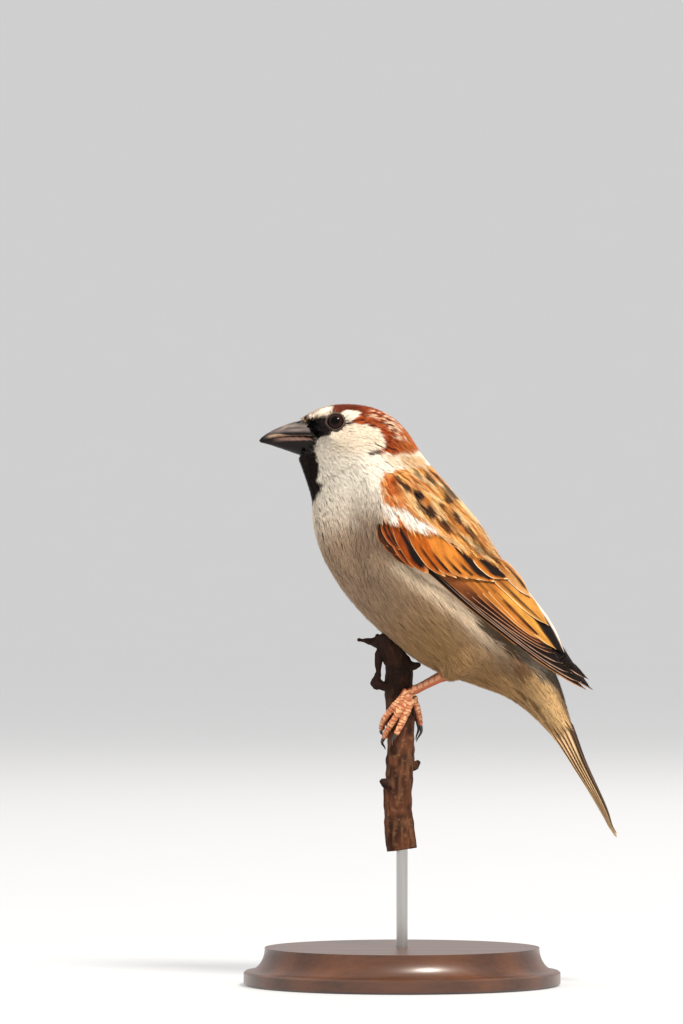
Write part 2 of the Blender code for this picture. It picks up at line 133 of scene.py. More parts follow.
def polygon_depth(x, z, outline):
    """How deep points lie inside a closed outline; negative outside it."""
    closed = outline + outline[:1]
    inside = np.zeros(len(x), bool)
    for (x0, z0), (x1, z1) in zip(closed, closed[1:]):
        if z0 != z1:
            crosses = (z0 > z) != (z1 > z)
            inside ^= crosses & (x < x0 + (x1 - x0) * (z - z0) / (z1 - z0))
    nearest = stroke_distance(x, z, closed)
    return np.where(inside, nearest, -nearest)


def catmull(table, count):
    """Points evenly spread in parameter on a smooth curve through a table's rows."""
    rows = np.array(table, float)
    rows = np.vstack([2 * rows[0] - rows[1], rows, 2 * rows[-1] - rows[-2]])
    out = []
    for t in np.linspace(0, len(table) - 1 - 1e-9, count):
        i, f = int(t), t - int(t)
        a, b, c, d = rows[i : i + 4]
        cubic = 2 * b + (c - a) * f + (2 * a - 5 * b + 4 * c - d) * f**2
        out.append(0.5 * (cubic + (3 * b - a - 3 * c + d) * f**3))
    return np.array(out)


# ---------------------------------------------------------------- meshes


def read(items, name):
    values = np.empty(len(items) * 3, np.float32)
    items.foreach_get(name, values)
    return values.reshape(-1, 3).astype(float)


def points_of(mesh):
    return read(mesh.vertices, "co")


def normals_of(mesh):
    return read(mesh.vertex_normals, "vector")


def linked(name, data):
    """A new object in the scene."""
    obj = bpy.data.objects.new(name, data)
    bpy.context.scene.collection.objects.link(obj)
    return obj


def make_object(name, mesh, finish, replaces=()):
    """Links a mesh as a piece of the bird or its stand."""
    mesh.materials.clear()
    mesh.materials.append(finish)
    obj = linked(name, mesh)
    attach(obj, "root")
    if replaces:
        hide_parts(*replaces)
    return obj


def make_mesh(name, vertices, faces, colours=None, bake=None, lines=None, normals=None):
    """A mesh from arrays. bake is the OFBake map; lines gives barbs their coordinates in mm."""
    mesh = bpy.data.meshes.new(name)
    mesh.vertices.add(len(vertices))
    mesh.vertices.foreach_set("co", np.ascontiguousarray(vertices, np.float32).ravel())
    corners = np.concatenate([f.ravel() for f in faces]).astype(np.int32)
    sizes = np.concatenate([np.full(len(f), f.shape[1]) for f in faces])
    starts = np.concatenate([[0], np.cumsum(sizes)[:-1]]).astype(np.int32)
    mesh.loops.add(len(corners))
    mesh.loops.foreach_set("vertex_index", corners)
    mesh.polygons.add(len(sizes))
    mesh.polygons.foreach_set("loop_start", starts)
    mesh.update(calc_edges=True)
    for title, map_values in (("OFBake", bake), ("Vane", lines)):
        if map_values is not None:
            layer = mesh.uv_layers.new(name=title)
            layer.data.foreach_set("uv", map_values[corners].astype(np.float32).ravel())
    if colours is not None:
        paint(mesh, colours)
    mesh.shade_smooth()
    if normals is not None:
        mesh.normals_split_custom_set_from_vertices(normals.astype(np.float32))
    return mesh


def paint(mesh, colours):
    """Gives each vertex its colour, which the materials read as Plumage."""
    layer = mesh.color_attributes.new("Plumage", "FLOAT_COLOR", "POINT")
    rgba = np.ones((len(colours), 4), np.float32)
    rgba[:, :3] = np.clip(colours, 0, 1)
    layer.data.foreach_set("color", rgba.ravel())


def make_painted(name, mesh, colours, finish, replaces=()):
    """Links a mesh as a piece with a colour for each vertex."""
    paint(mesh, colours)
    mesh.shade_smooth()
    return make_object(name, mesh, finish, replaces)


class Surface:
    """A mesh that other pieces are laid on: nearest points with smooth normals."""

    def __init__(self, mesh):
        mesh.calc_loop_triangles()
        self.points, self.normals = points_of(mesh), normals_of(mesh)
        triangles = np.empty(len(mesh.loop_triangles) * 3, np.int32)
        mesh.loop_triangles.foreach_get("vertices", triangles)
        self.triangles = triangles.reshape(-1, 3)
        self.tree = BVHTree.FromPolygons(self.points.tolist(), self.triangles.tolist())

    def nearest(self, points):
        found = [self.tree.find_nearest(p) for p in points.tolist()]
        places = np.array([f[0][:] for f in found])
        corners = self.triangles[[f[2] for f in found]]
        a, b, c = (self.points[corners[:, k]] for k in range(3))
        whole = np.linalg.norm(np.cross(b - a, c - a), axis=1)[:, None] + 1e-18
        wa = np.linalg.norm(np.cross(b - places, c - places), axis=1)[:, None] / whole
        wb = np.linalg.norm(np.cross(c - places, a - places), axis=1)[:, None] / whole
        na, nb, nc = (self.normals[corners[:, k]] for k in range(3))
        return places, unit(na * wa + nb * wb + nc * (1 - wa - wb))

    def distance(self, points):
        return np.array([self.tree.find_nearest(p)[3] for p in points.tolist()])

    def scatter(self, count):
        """Random points spread evenly over the surface."""
        a, b, c = (self.points[self.triangles[:, k]] for k in range(3))
        area = np.linalg.norm(np.cross(b - a, c - a), axis=1)
        pick = rng.choice(len(area), count, p=area / area.sum())
        r, s = np.sqrt(rng.random(count))[:, None], rng.random(count)[:, None]
        return a[pick] * (1 - r) + b[pick] * r * (1 - s) + c[pick] * r * s


def cad_mesh(nodes, grow=0.0):
    """The CAD nodes' meshes in one, welded, each grown a little so that they meet."""
    shape = bmesh.new()
    for node in nodes:
        shape.from_mesh(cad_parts[node].data)
    bmesh.ops.remove_doubles(shape, verts=shape.verts, dist=1e-6)
    shape.normal_update()
    for vertex in shape.verts:
        vertex.co += vertex.normal * grow
    mesh = bpy.data.meshes.new("merged")
    shape.to_mesh(mesh)
    shape.free()
    return mesh


def evaluated(mesh, *modifiers):
    """The mesh after some modifiers, each given as a type and its settings."""
    obj = linked("evaluated", mesh)
    for kind, settings in modifiers:
        modifier = obj.modifiers.new(kind, kind)
        for name, value in settings.items():
            setattr(modifier, name, value)
    bpy.context.view_layer.update()
    graph = bpy.context.evaluated_depsgraph_get()
    result = bpy.data.meshes.new_from_object(obj.evaluated_get(graph))
    bpy.data.objects.remove(obj)
    return result


def softening(rounds):
    """The modifier that smooths a mesh, for evaluated."""
    return "SMOOTH", {"factor": 0.5, "iterations": rounds}


def resampled(mesh, voxel, rounds):
    """The mesh rebuilt as one closed surface from voxels, and smoothed."""
    return evaluated(mesh, ("REMESH", {"mode": "VOXEL", "voxel_size": voxel}), softening(rounds))


def moved(mesh, offsets):
    """Shifts a mesh's vertices by one offset each."""
    points = points_of(mesh) + offsets
    mesh.vertices.foreach_set("co", points.astype(np.float32).ravel())
    mesh.update()
    return mesh


# ---------------------------------------------------------------- landmarks


def aside(points):
    """Millimetres from the bird's middle plane."""
    return np.abs(points[:, 1]) / MM


BODY = ("head", "neck", "trunk", "rump", "thigh_left", "thigh_right")
WINGS = ("wing_left_coverts", "wing_left_flight", "wing_right_coverts", "wing_right_flight")


def middle(node):
    low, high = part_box(node)
    return np.array((low + high) / 2)


EYE = middle("eye_left") * [1, -1, 1]  # the right eye's centre; the left one is its mirror
BILL_TIP = np.array([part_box("bill_upper")[0].x, 0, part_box("bill_lower")[1].z])
BILL_BASE = EYE + np.array([-9.9, 0, -4.4]) * MM
BILL_BASE[1] = 0
WING_BEND = np.array([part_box("wing_left_coverts")[0].x, 0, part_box("wing_left_coverts")[1].z])
TAIL_TIP = np.array([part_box("tail")[1].x, 0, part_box("tail")[0].z])

AXIS = catmull(
    [BILL_BASE, (BILL_BASE + 2 * middle("head")) / 3 * [1, 0, 1]]
    + [middle(part) * [1, 0, 1] for part in ("neck", "trunk", "rump", "tail")]
    + [TAIL_TIP],
    90,
)
AXIS_STEP = np.linalg.norm(np.diff(AXIS, axis=0), axis=1)
AXIS_PLACE = np.concatenate([[0], np.cumsum(AXIS_STEP)])
AXIS_TANGENT = unit(np.gradient(AXIS, axis=0))


def on_axis(points):
    """Each point's place along the body from the bill's base, its angle from the back, and the body's way."""
    flat = points * [1, 0, 1]
    parts = np.array_split(flat, len(flat) // 20000 + 1)
    k = np.concatenate([np.linalg.norm(p[:, None] - AXIS[None], axis=2).argmin(axis=1) for p in parts])
    tangent = AXIS_TANGENT[k]
    offset = flat - AXIS[k]
    place = AXIS_PLACE[k] + (offset * tangent).sum(1)
    upwards = -offset[:, 0] * tangent[:, 2] + offset[:, 2] * tangent[:, 0]
    return place, np.arctan2(points[:, 1], upwards), tangent


# ---------------------------------------------------------------- plumage markings, with painted light and shade

# Outlines on the side of the head and body: millimetres back from and up from the eye.
MASK = [
    (-10.4, -1.6), (-8.6, -1.0), (-6.6, -0.4), (-4.8, 0.7), (-3.6, 1.6), (-2.1, 2.4), (-0.6, 3.0), (1.7, 2.0),
    (3.0, 0.3), (5.0, 0.2), (4.6, -0.7), (3.1, -1.3), (0.6, -2.7), (-2.0, -4.0), (-3.6, -4.3),
    (-4.8, -4.9), (-5.6, -4.2), (-7.2, -2.4), (-8.8, -1.6),
]  # fmt: skip
FOREHEAD = [
    (-7.3, 1.3), (-6.2, 3.0), (-4.0, 4.4), (-1.4, 5.0), (-0.7, 3.5), (-2.3, 2.7), (-4.4, 1.9), (-6.4, 1.1),
]  # fmt: skip
WHITE_SPOT = [(0.9, 2.0), (2.4, 2.5), (4.9, 2.5), (6.7, 2.2), (6.0, 1.2), (4.4, 0.2), (3.6, 0.5), (2.4, 1.4)]
CHESTNUT = [
    (-1.3, 3.0), (-2.4, 4.4), (0.0, 7.0), (9.0, 7.0), (20.0, 2.0), (25.0, -7.0), (22.8, -7.6),
    (20.4, -8.7), (16.0, -9.1), (13.0, -8.5), (10.2, -8.9), (11.9, -8.1), (13.6, -6.6), (13.2, -5.0),
    (12.1, -2.2), (9.5, -1.3), (6.0, -0.9), (4.6, -0.3), (4.6, 0.3), (6.4, 1.4), (6.9, 2.4),
    (4.6, 2.9), (2.4, 2.8), (0.8, 2.4),
]  # fmt: skip
FLECKS = [
    (8.4, 1.5), (9.2, 2.7), (12.5, 2.8), (16.5, 0.0), (19.8, -5.5), (16.4, -4.9), (13.5, -1.4), (10.8, 0.5),
]  # fmt: skip
CHEEK = [
    (-5.6, -5.4), (-4.0, -4.4), (-2.0, -4.2), (0.6, -2.9), (3.1, -1.5), (6.0, -1.0), (9.5, -1.4),
    (12.1, -2.3), (13.3, -5.1), (13.6, -6.7), (10.4, -8.4), (6.3, -9.7), (2.5, -11.4),
    (-0.8, -12.1), (-4.0, -11.6), (-5.5, -8.4),
]  # fmt: skip
BIB = [
    (-12.0, -4.8), (-5.4, -4.9), (-5.8, -5.8), (-5.2, -8.4), (-4.2, -12.2), (-4.6, -14.8),
    (-5.1, -16.2), (-2.8, -17.0), (-4.9, -18.8), (-5.8, -21.4), (-6.3, -25.0), (-9.0, -27.0),
    (-16.0, -14.0),
]  # fmt: skip
# Lines: the collar's middle, the parting in the bib's edge, whose gaps get specks of painted shade, and the
# dark tick behind the cheek.
COLLAR = [(-4.6, -13.2), (1.0, -12.7), (6.0, -11.2), (9.8, -10.2), (16.0, -10.6), (22.0, -11.0)]
PARTING = [(-4.0, -17.0), (-0.7, -14.7), (3.5, -12.9), (6.2, -11.7)]
TICK = [(9.4, -8.7), (11.8, -8.0)]
BARE_BILL = [
    (-14.0, 1.0), (-9.9, 0.0), (-8.4, -0.9), (-6.9, -2.2), (-5.5, -3.6), (-4.9, -4.4),
    (-5.5, -5.1), (-7.2, -6.5), (-10.4, -7.9), (-14.0, -9.0),
]  # fmt: skip

# Outlines on the wing: millimetres back from and down from its bend.
SHOULDER = [
    (1.3, 3.2), (2.3, 1.4), (6.9, 0.2), (10.6, -0.3), (14.0, -1.0), (18.0, -6.0), (75.0, 40.0),
    (60.0, 62.0), (35.0, 30.0), (28.0, 27.0), (22.0, 24.0), (16.0, 20.5), (11.5, 19.0),
    (4.2, 17.5), (2.0, 13.4), (1.0, 9.5), (1.8, 8.8), (1.3, 6.0),
]  # fmt: skip
VANED = [
    (1.0, 14.0), (3.4, 14.6), (6.5, 15.6), (9.6, 16.6), (11.8, 17.4), (15.6, 17.9), (19.0, 20.2),
    (22.4, 22.4), (27.7, 24.0), (33.5, 26.0), (37.5, 28.0), (41.5, 31.5), (46.0, 36.5), (50.0, 43.0),
    (52.0, 47.5), (58.8, 58.4), (55.9, 59.0), (49.0, 54.2), (42.7, 49.3), (38.3, 46.6), (32.7, 43.2),
    (28.2, 40.0), (23.8, 36.4), (18.9, 32.4), (16.3, 31.0), (12.7, 28.3), (9.6, 26.4), (7.2, 23.9),
    (3.5, 20.6), (0.6, 17.4),
]  # fmt: skip
# The rump's side in the wing's shade, and the lit ridge of the flank's feathers below the wing.
SHADED = [
    (24.0, 36.4), (38.3, 45.0), (47.0, 51.0), (48.5, 56.5), (45.2, 56.0), (40.1, 51.6), (32.0, 45.6),
    (27.5, 41.4),
]  # fmt: skip
RIDGE = [(5.0, 24.0), (9.0, 27.4), (16.0, 32.2), (22.0, 36.5), (26.5, 42.0), (32.0, 46.6), (39.0, 52.2)]
WHITE_BARS = (
    [(0.9, 9.6), (2.4, 9.3), (6.2, 11.6), (6.6, 13.4), (5.0, 15.6), (3.4, 13.8), (1.6, 12.6)],
    [
        (6.6, 11.6), (8.2, 11.5), (11.6, 13.9), (16.2, 16.3), (15.6, 17.4), (11.8, 17.0), (9.6, 16.2),
        (7.2, 13.8),
    ],
)  # fmt: skip
BUFF_BAR = [(15.6, 16.6), (19.0, 17.8), (24.0, 21.6), (23.0, 22.4), (17.0, 19.4)]
# Dark drops: back, down, half length along the lie, half width, strength.
DROPS = (
    (6.1, 2.8, 1.5, 0.6, 0.8), (8.3, 5.0, 1.5, 0.9, 0.9), (11.5, 7.4, 1.7, 1.0, 1.0),
    (11.9, 10.3, 1.6, 0.8, 0.6), (14.7, 12.0, 2.1, 1.0, 0.95), (18.7, 15.6, 2.3, 0.9, 0.85),
    (19.4, 8.3, 1.5, 0.9, 0.9), (17.8, 10.2, 1.7, 0.8, 0.8), (21.2, 12.9, 2.0, 0.75, 0.9),
    (25.0, 16.8, 2.4, 0.8, 0.8), (14.8, 2.9, 2.6, 0.6, 0.8), (18.7, 6.3, 2.0, 0.6, 0.8),
    (25.3, 13.2, 2.6, 0.55, 0.8), (27.4, 21.0, 2.6, 0.9, 0.6), (31.3, 23.2, 2.4, 0.7, 0.7),
    (23.0, 18.6, 2.2, 0.7, 0.5), (10.8, 1.0, 2.0, 0.5, 0.6), (30.6, 19.0, 2.5, 0.5, 0.6),
    (35.2, 25.4, 2.8, 0.6, 0.7), (22.2, 8.6, 2.2, 0.5, 0.6), (38.4, 29.5, 2.8, 0.6, 0.7),
)  # fmt: skip
PALE_STREAKS = (
    [(16.9, 3.6), (22.0, 8.4), (27.5, 14.3)], [(9.0, 0.6), (12.6, 2.6), (15.8, 4.6)],
    [(21.2, 11.0), (24.9, 15.3)], [(24.2, 18.4), (30.6, 24.6)], [(29.0, 17.6), (36.5, 25.6)],
    [(13.8, 6.6), (17.6, 8.6)], [(8.4, 7.2), (12.6, 12.8)], [(15.2, 8.8), (18.4, 13.6)],
)  # fmt: skip

CREAM = (253, 242, 224)
CHEEK_GREY = (238, 221, 197)
BLACK = (29, 20, 18)
BREAST = (240, 221, 198)
# The lower breast's and the belly's colours are their own tones darkened by painted shade.
LOWER_BREAST_IN_SHADE = (168, 140, 114)
BELLY_IN_SHADE = (170, 132, 88)
VENT = (182, 142, 94)
UNDERTAIL = (208, 168, 116)
RUMP_GREY = (118, 94, 70)
SHADE = (112, 86, 60)


def from_eye(points):
    """Millimetres back from and up from the eye."""
    return ((points - EYE) / MM)[:, [0, 2]].T


def from_bend(points):
    """Millimetres back from and down from the wing's bend."""
    return (points[:, 0] - WING_BEND[0]) / MM, (WING_BEND[2] - points[:, 2]) / MM


def along_wing(back, down):
    """Places along and across the lie of the wing's feathers."""
    return back * 0.66 + down * 0.75, down * 0.66 - back * 0.75


def under_wing(back, down):
    """Whether places on the side lie below the folded wing's middle line."""
    return down > 16 + 0.76 * back


def shoulder_colours(points):
    """Colours of the lesser and median coverts, the shoulders and the back."""
    back, down = from_bend(points)
    along, across = along_wing(back, down)
    y = points[:, 1] / MM
    fine = lumps(14, along * 0.30, across * 1.5, y * 0.8)
    broad = lumps(15, along * 0.25, across * 0.5, y * 0.5)
    hair = lumps(18, along * 0.35, across * 2.3, y * 1.2)
    patchy = smooth(noise(points, 1.3 * MM, 17), 0.4, 0.65)
    front = fade(back - 0.30 * down, 3.2, 6.4)
    lesser = layered(
        (176, 76, 24),
        ((200, 98, 36), smooth(fine, 0.3, 0.7)),
        ((236, 160, 92), patchy * 0.75),
    )
    beige = smooth(back - 0.1 * down, 5.0, 7.0) * fade(back, 11.0, 15.0) * smooth(down, 2.5, 5.0)
    colour = layered(
        (178, 98, 38),
        ((236, 170, 92), smooth(fine, 0.25, 0.7)),
        ((204, 112, 38), smooth(broad, 0.4, 0.8) * 0.6),
        (lesser, front),
        ((204, 150, 100), beige * 0.4),
        ((84, 42, 20), smooth(hair, 0.66, 0.76) * 0.55),
        ((244, 206, 148), fade(hair, 0.24, 0.34) * 0.6),
    )
    for path in PALE_STREAKS:
        amount = fade(stroke_distance(back, down, path) + (fine - 0.5) * 0.6, 0.25, 0.85)
        colour = layered(colour, ((244, 212, 160), amount * 0.7))
    middle_back = fade(np.abs(y), 5.0, 8.5)
    stripes = lumps(16, along * 0.16, y * 0.62, y * 0)
    colour = layered(
        colour,
        ((214, 182, 140), middle_back * smooth(stripes, 0.60, 0.72) * 0.8),
        ((44, 29, 24), middle_back * fade(stripes, 0.34, 0.44) * 0.9),
    )
    for drop_back, drop_down, long, wide, strength in DROPS:
        ahead, beside = along_wing(back - drop_back, down - drop_down)
        size = np.hypot(ahead / long, beside / wide) + (fine - 0.5) * 0.9
        drop = fade(size, 0.92, 1.16) * strength * (1 - middle_back)
        colour = layered(colour, ((30, 18, 16), drop))
    buff = smooth(polygon_depth(back, down, BUFF_BAR), -0.6, 0.5)
    colour = layered(colour, ((222, 176, 126), buff * 0.8))
    for outline in WHITE_BARS:
        depth = polygon_depth(back, down, outline) + (fine - 0.5) * 1.1
        colour = layered(colour, ((248, 240, 228), smooth(depth, -0.45, 0.35)))
    return colour


def plumage(points):
    """The plumage's colour at points of the surface: markings of a male in summer, with painted shade on the
    lower breast, the belly, the flank and the rump's side under the wing, and a painted highlight along the
    flank's ridge.
    """
    jitter = (noise(points, 0.9 * MM, 5)[:, None] - 0.5) * 0.9 * MM
    x, z = from_eye(points + jitter)
    place, angle, _ = on_axis(points)
    place = place / MM
    turn = np.abs(angle) / math.pi  # 0 along the back, 1 along the belly

    streak = noise(points * [1, 1, 0.35], 0.8 * MM, 9)
    narrow = 0.22 * smooth(place, 80, 94)
    rump = fade(turn, 0.36 - narrow, 0.5 - narrow) * smooth(place, 62, 74)
    flank = smooth(turn, 0.36, 0.44) * fade(turn, 0.50, 0.58) * smooth(place, 66, 76)
    # The lower breast and the belly carry painted shade over their own tones; SHADE is painted shade on the
    # flank.
    colour = layered(
        BREAST,
        (LOWER_BREAST_IN_SHADE, smooth(place, 19, 35) * smooth(turn, 0.35, 0.62)),
        (BELLY_IN_SHADE, smooth(place, 42, 66) * smooth(turn, 0.3, 0.7)),
        (VENT, smooth(place, 72, 90)),
        (UNDERTAIL, smooth(place, 84, 96)),
        (CREAM, smooth(-z, 8, 11) * fade(-z, 15, 30) * smooth(x, -7, -4)),
        (RUMP_GREY, rump),
        (SHADE, flank * fade(place, 82, 92) * 0.7),
    )
    streaky = smooth(place, 30, 50) * smooth(turn, 0.4, 0.55)
    colour = colour * (1 - 0.22 * smooth(streak, 0.55, 0.8) * streaky)[:, None]

    shafts = smooth(lumps(3, place * 0.2, np.abs(angle) * 5, place * 0), 0.56, 0.7)
    shafts = shafts * smooth(place, 76, 86) * fade(place, 94, 102)
    back, down = from_bend(points + jitter)
    # Painted light: a highlight along the lit ridge of the flank's feathers. Painted shade: the rump's side
    # in the wing's shadow, dark brown in front and greyer behind.
    ridge_highlight = fade(stroke_distance(back, down, RIDGE), 0.6, 3.4)
    shaded = smooth(polygon_depth(back, down, SHADED) + (streak - 0.5) * 1.4, -0.4, 0.4)
    wing_shade_colour = layered((66, 52, 36), ((118, 108, 96), smooth(back, 34, 42)))
    ahead = smooth(place, 20, 24) * fade(place, 64, 76) * fade(turn, 0.5, 0.56)
    vaned = np.where(under_wing(back, down), -9.0, polygon_depth(back, down, VANED))
    over = np.maximum(polygon_depth(back, down, SHOULDER), vaned)
    over = smooth(over, -0.4, 0.5) * ahead
    colour = layered(
        colour,
        ((104, 70, 42), shafts * 0.8),
        ((240, 214, 182), ridge_highlight * 0.75 * fade(place, 64, 84)),
        (wing_shade_colour, shaded * 0.9),
        (shoulder_colours(points + jitter * 0.6), over),
    )
    return head_markings(colour, points, x, z, place, streak, over)


def head_markings(colour, points, x, z, place, streak, over):
    """Lays the head's markings over the body's colours, with painted light on the cheek's front and specks of
    painted shade along the parting. x and z are mm back from and up from the eye.
    """

    def inside(outline, soft=0.3):
        return smooth(polygon_depth(x, z, outline), -soft, soft)

    y = aside(points)
    on_head = fade(place, 27, 30)
    speckle = smooth(noise(points, 0.45 * MM, 22), 0.5, 0.6)
    grain = noise(points, 0.55 * MM, 23)
    collar = layered(CREAM, ((226, 184, 138), smooth(x + 6 * (streak - 0.5), 11, 21)))
    # The cheek's front and lower edge are paler: partly their own tone, partly painted light where the face
    # turns from the lamps.
    pale_and_lit_cheek_front = inside(CHEEK, 0.6) * fade(x, -3, 2) + inside(CHEEK, 0.4) * smooth(-z, 7, 10)
    brown_face = smooth(-x, 3.4, 5.0) * smooth(z, -1.6, -0.2)
    chestnut = layered(
        (84, 26, 10),
        ((164, 68, 22), smooth(grain, 0.25, 0.6)),
        ((206, 126, 74), smooth(grain, 0.66, 0.85) * 0.45),
        ((84, 28, 10), smooth(z, 1.4, 3.0) * fade(x, 4.0, 12.0) * 0.85),
        ((206, 116, 52), smooth(x, 15.0, 19.5) * 0.5),
    )
    crown_middle = smooth(z, 2.6, 3.4) * fade(y, 1.6, 3.6) * smooth(x, -3.0, 0.0) * on_head
    fleck = smooth(noise(points, 0.75 * MM, 21), 0.47, 0.56)
    ahead_of_crown = smooth(z, 1.0, 2.0) * fade(x, -2.6, -1.0) * fade(y, 1.2, 3.0) * on_head
    forehead = inside(FOREHEAD, 0.35) * (1 - speckle * (0.4 + 0.4 * smooth(-x, 4.5, 6.5)))
    forehead *= 0.25 + 0.75 * smooth(y, 0.9, 2.8)
    # Specks of painted shade in the gaps between feathers along the parting.
    speck = smooth(noise(points, 0.8 * MM, 8), 0.4, 0.7)
    parting = fade(stroke_distance(x, z, PARTING), 0.1, 1.0)
    return layered(
        colour,
        (collar, fade(stroke_distance(x, z, COLLAR), 1.0, 2.4) * (1 - over)),
        (CHEEK_GREY, inside(CHEEK, 0.6)),
        ((255, 242, 224), np.clip(pale_and_lit_cheek_front, 0, 1) * 0.9),
        (layered((166, 136, 108), ((44, 31, 26), speckle)), brown_face * on_head),
        (chestnut, inside(CHESTNUT)),
        ((112, 64, 42), crown_middle * 0.3),
        ((236, 204, 172), inside(FLECKS, 0.7) * fleck * 0.9),
        (layered((150, 112, 84), ((84, 52, 38), speckle)), ahead_of_crown),
        ((244, 232, 216), forehead),
        (BLACK, inside(MASK)),
        ((247, 234, 214), inside(WHITE_SPOT) * (1 - 0.4 * speckle)),
        ((150, 130, 110), speck * parting * 0.5),
        (BLACK, fade(stroke_distance(x, z, TICK), 0.3, 0.7) * 0.85),
        (BLACK, inside(BIB, 0.4)),
    )


# ---------------------------------------------------------------- materials


class Finish:
    """A material: its nodes, and its shader's sockets, whose names take _ for a space."""

    def __init__(self, name, roughness, **constants):
        self.material = bpy.data.materials.new(name)
        self.material.use_nodes = True
        self.tree = self.material.node_tree
        self.sockets = self.tree.nodes["Principled BSDF"].inputs
        for title, value in {"Roughness": roughness, **constants}.items():
            self.sockets[title.replace("_", " ")].default_value = value

    def node(self, kind, **settings):
        """A new node. settings are its sockets, whose names take __ for a space, or its own choices."""
        made = self.tree.nodes.new(kind)
        for title, value in settings.items():
            title = title.replace("__", " ")
            if title in made.inputs:
                made.inputs[title].default_value = value
            else:
                setattr(made, title, value)
        return made

    def wire(self, source, socket):
        self.tree.links.new(source, socket)

    def maths(self, operation, *values):
        made = self.node("ShaderNodeMath", operation=operation)
        for socket, value in zip(made.inputs, values):
            if isinstance(value, float):
                socket.default_value = value
            else:
                self.wire(value, socket)
        return made.outputs[0]

    def painted(self):
        """The colours painted on the mesh."""
        return self.node("ShaderNodeAttribute", attribute_name="Plumage").outputs["Color"]

    def tinted(self, colour, factor, low, high):
        """A colour multiplied by a brightness between low and high that a factor picks."""
        span = self.node("ShaderNodeMapRange", To__Min=low, To__Max=high)
        scaled = self.node("ShaderNodeVectorMath", operation="SCALE")
        self.wire(factor, span.inputs["Value"])
        self.wire(colour, scaled.inputs[0])
        self.wire(span.outputs[0], scaled.inputs["Scale"])
        return scaled.outputs[0]

    def place(self, stretch=None):
        """Places on the object, scaled by an amount for each axis."""
        place = self.node("ShaderNodeTexCoord").outputs["Object"]
        if stretch:
            mapping = self.node("ShaderNodeMapping", Scale=stretch)
            self.wire(place, mapping.inputs["Vector"])
            place = mapping.outputs[0]
        return place

    def noise(self, scale, detail=3.0, stretch=None):
        texture = self.node("ShaderNodeTexNoise", Scale=scale, Detail=detail)
        self.wire(self.place(stretch), texture.inputs["Vector"])
        return texture.outputs["Fac"]

    def bump(self, height, strength, distance):
        made = self.node("ShaderNodeBump", Strength=strength, Distance=distance)
        self.wire(height, made.inputs["Height"])
        self.wire(made.outputs[0], self.sockets["Normal"])


def mottled(name, roughness, grain, low, high, relief=None, colour=None, **constants):
    """A finish of the mesh's own colours, or of one colour, mottled by noise.

    grain gives the noise's scale, detail and stretch; relief its bump's strength and distance.
    """
    finish = Finish(name, roughness, **constants)
    if colour:
        base = finish.node("ShaderNodeRGB").outputs[0]
        base.default_value = (*colour, 1)
    else:
        base = finish.painted()
    factor = finish.noise(*grain)
    finish.wire(finish.tinted(base, factor, low, high), finish.sockets["Base Color"])
    if relief:
        finish.bump(factor, *relief)
    return finish.material


def feather_material(name, barbs):
    """Feathers take their colour from the mesh. Vanes add the fine lines of their barbs."""
    finish = Finish(name, 0.7, Sheen_Weight=0.0 if barbs else 0.05, Specular_IOR_Level=0.12)
    colour = finish.tinted(finish.painted(), finish.noise(1800.0, 2.0), 0.82, 1.18)
    if barbs:
        vane = finish.node("ShaderNodeUVMap", uv_map="Vane").outputs[0]
        parts = finish.node("ShaderNodeSeparateXYZ")
        finish.wire(vane, parts.inputs[0])
        slant = finish.maths("MULTIPLY", finish.maths("ABSOLUTE", parts.outputs["X"]), 1.5)
        along = finish.maths("SUBTRACT", parts.outputs["Y"], slant)
        wave = finish.maths("SINE", finish.maths("MULTIPLY", along, 17.0))
        wave = finish.maths("MULTIPLY_ADD", wave, 0.5, 0.5)
        colour = finish.tinted(colour, wave, 0.88, 1.1)
        finish.bump(wave, 0.35, 0.00006)
    finish.wire(colour, finish.sockets["Base Color"])
    return finish.material


# ---------------------------------------------------------------- skin and the surface of the coat

VOXEL = 0.7 * MM
MEET = 0.25 * MM  # how far each solid grows so that the gaps between them close
COAT_DEPTH = 0.8 * MM
THINNEST_SHARE = 0.36  # the skin sinks by no more than this share of a part's thickness


def closed_surface(nodes):
    """The CAD solids as one smooth closed surface at their own outer faces."""
    mesh = resampled(cad_mesh(nodes + ("eye_left", "eye_right"), MEET), VOXEL, 6)
    moved(mesh, -normals_of(mesh) * MEET)
    moved(mesh, face_taper(points_of(mesh)))
    return moved(mesh, orbit(points_of(mesh)))


# The plane of the lids: how far out it lies at the eye, and how it leans back and up.
ORBIT_OUT = 7.3
ORBIT_BACK = 0.20
ORBIT_UP = -0.26
# The face's half width: at its start behind the bill's tip, and what it widens by over its length.
FACE_NARROW = 2.9
FACE_WIDENS = 8.6
FACE_START = 13.0
FACE_LENGTH = 15.5


def sideways(points, amount):
    """Offsets that move points away from the bird's middle plane by amounts in mm."""
    offsets = np.zeros_like(points)
    offsets[:, 1] = np.sign(points[:, 1]) * amount * MM
    return offsets


def orbit(points):
    """Offsets that flatten the head round each eye, so that the lids lie flush with the face."""
    x, z = from_eye(points)
    y = aside(points)
    near = fade(np.hypot(x, z), 3.2, 6.5) * fade(z, 1.6, 4.4) * smooth(y, 1.0, 2.5)
    flat = ORBIT_OUT + ORBIT_BACK * x + ORBIT_UP * z
    return sideways(points, (flat - y) * near)


def face_taper(points, margin=0.0):
    """Offsets that narrow the face towards the bill, so that feathers meet the bill's sides."""
    back = (points[:, 0] - BILL_TIP[0]) / MM
    widening = np.sin(math.pi / 2 * np.clip((back - FACE_START) / FACE_LENGTH, 0, 1))
    over = aside(points) - (FACE_NARROW - margin + FACE_WIDENS * widening)
    pull = 0.5 * (over + np.sqrt(over**2 + 0.5)) * fade(back, 23, 31)
    return sideways(points, -pull)


def on_wings(points):
    """Whether points lie on the folded wings, and not on the body between or under them."""
    return WING_SURFACE.distance(points) < 0.8 * MM


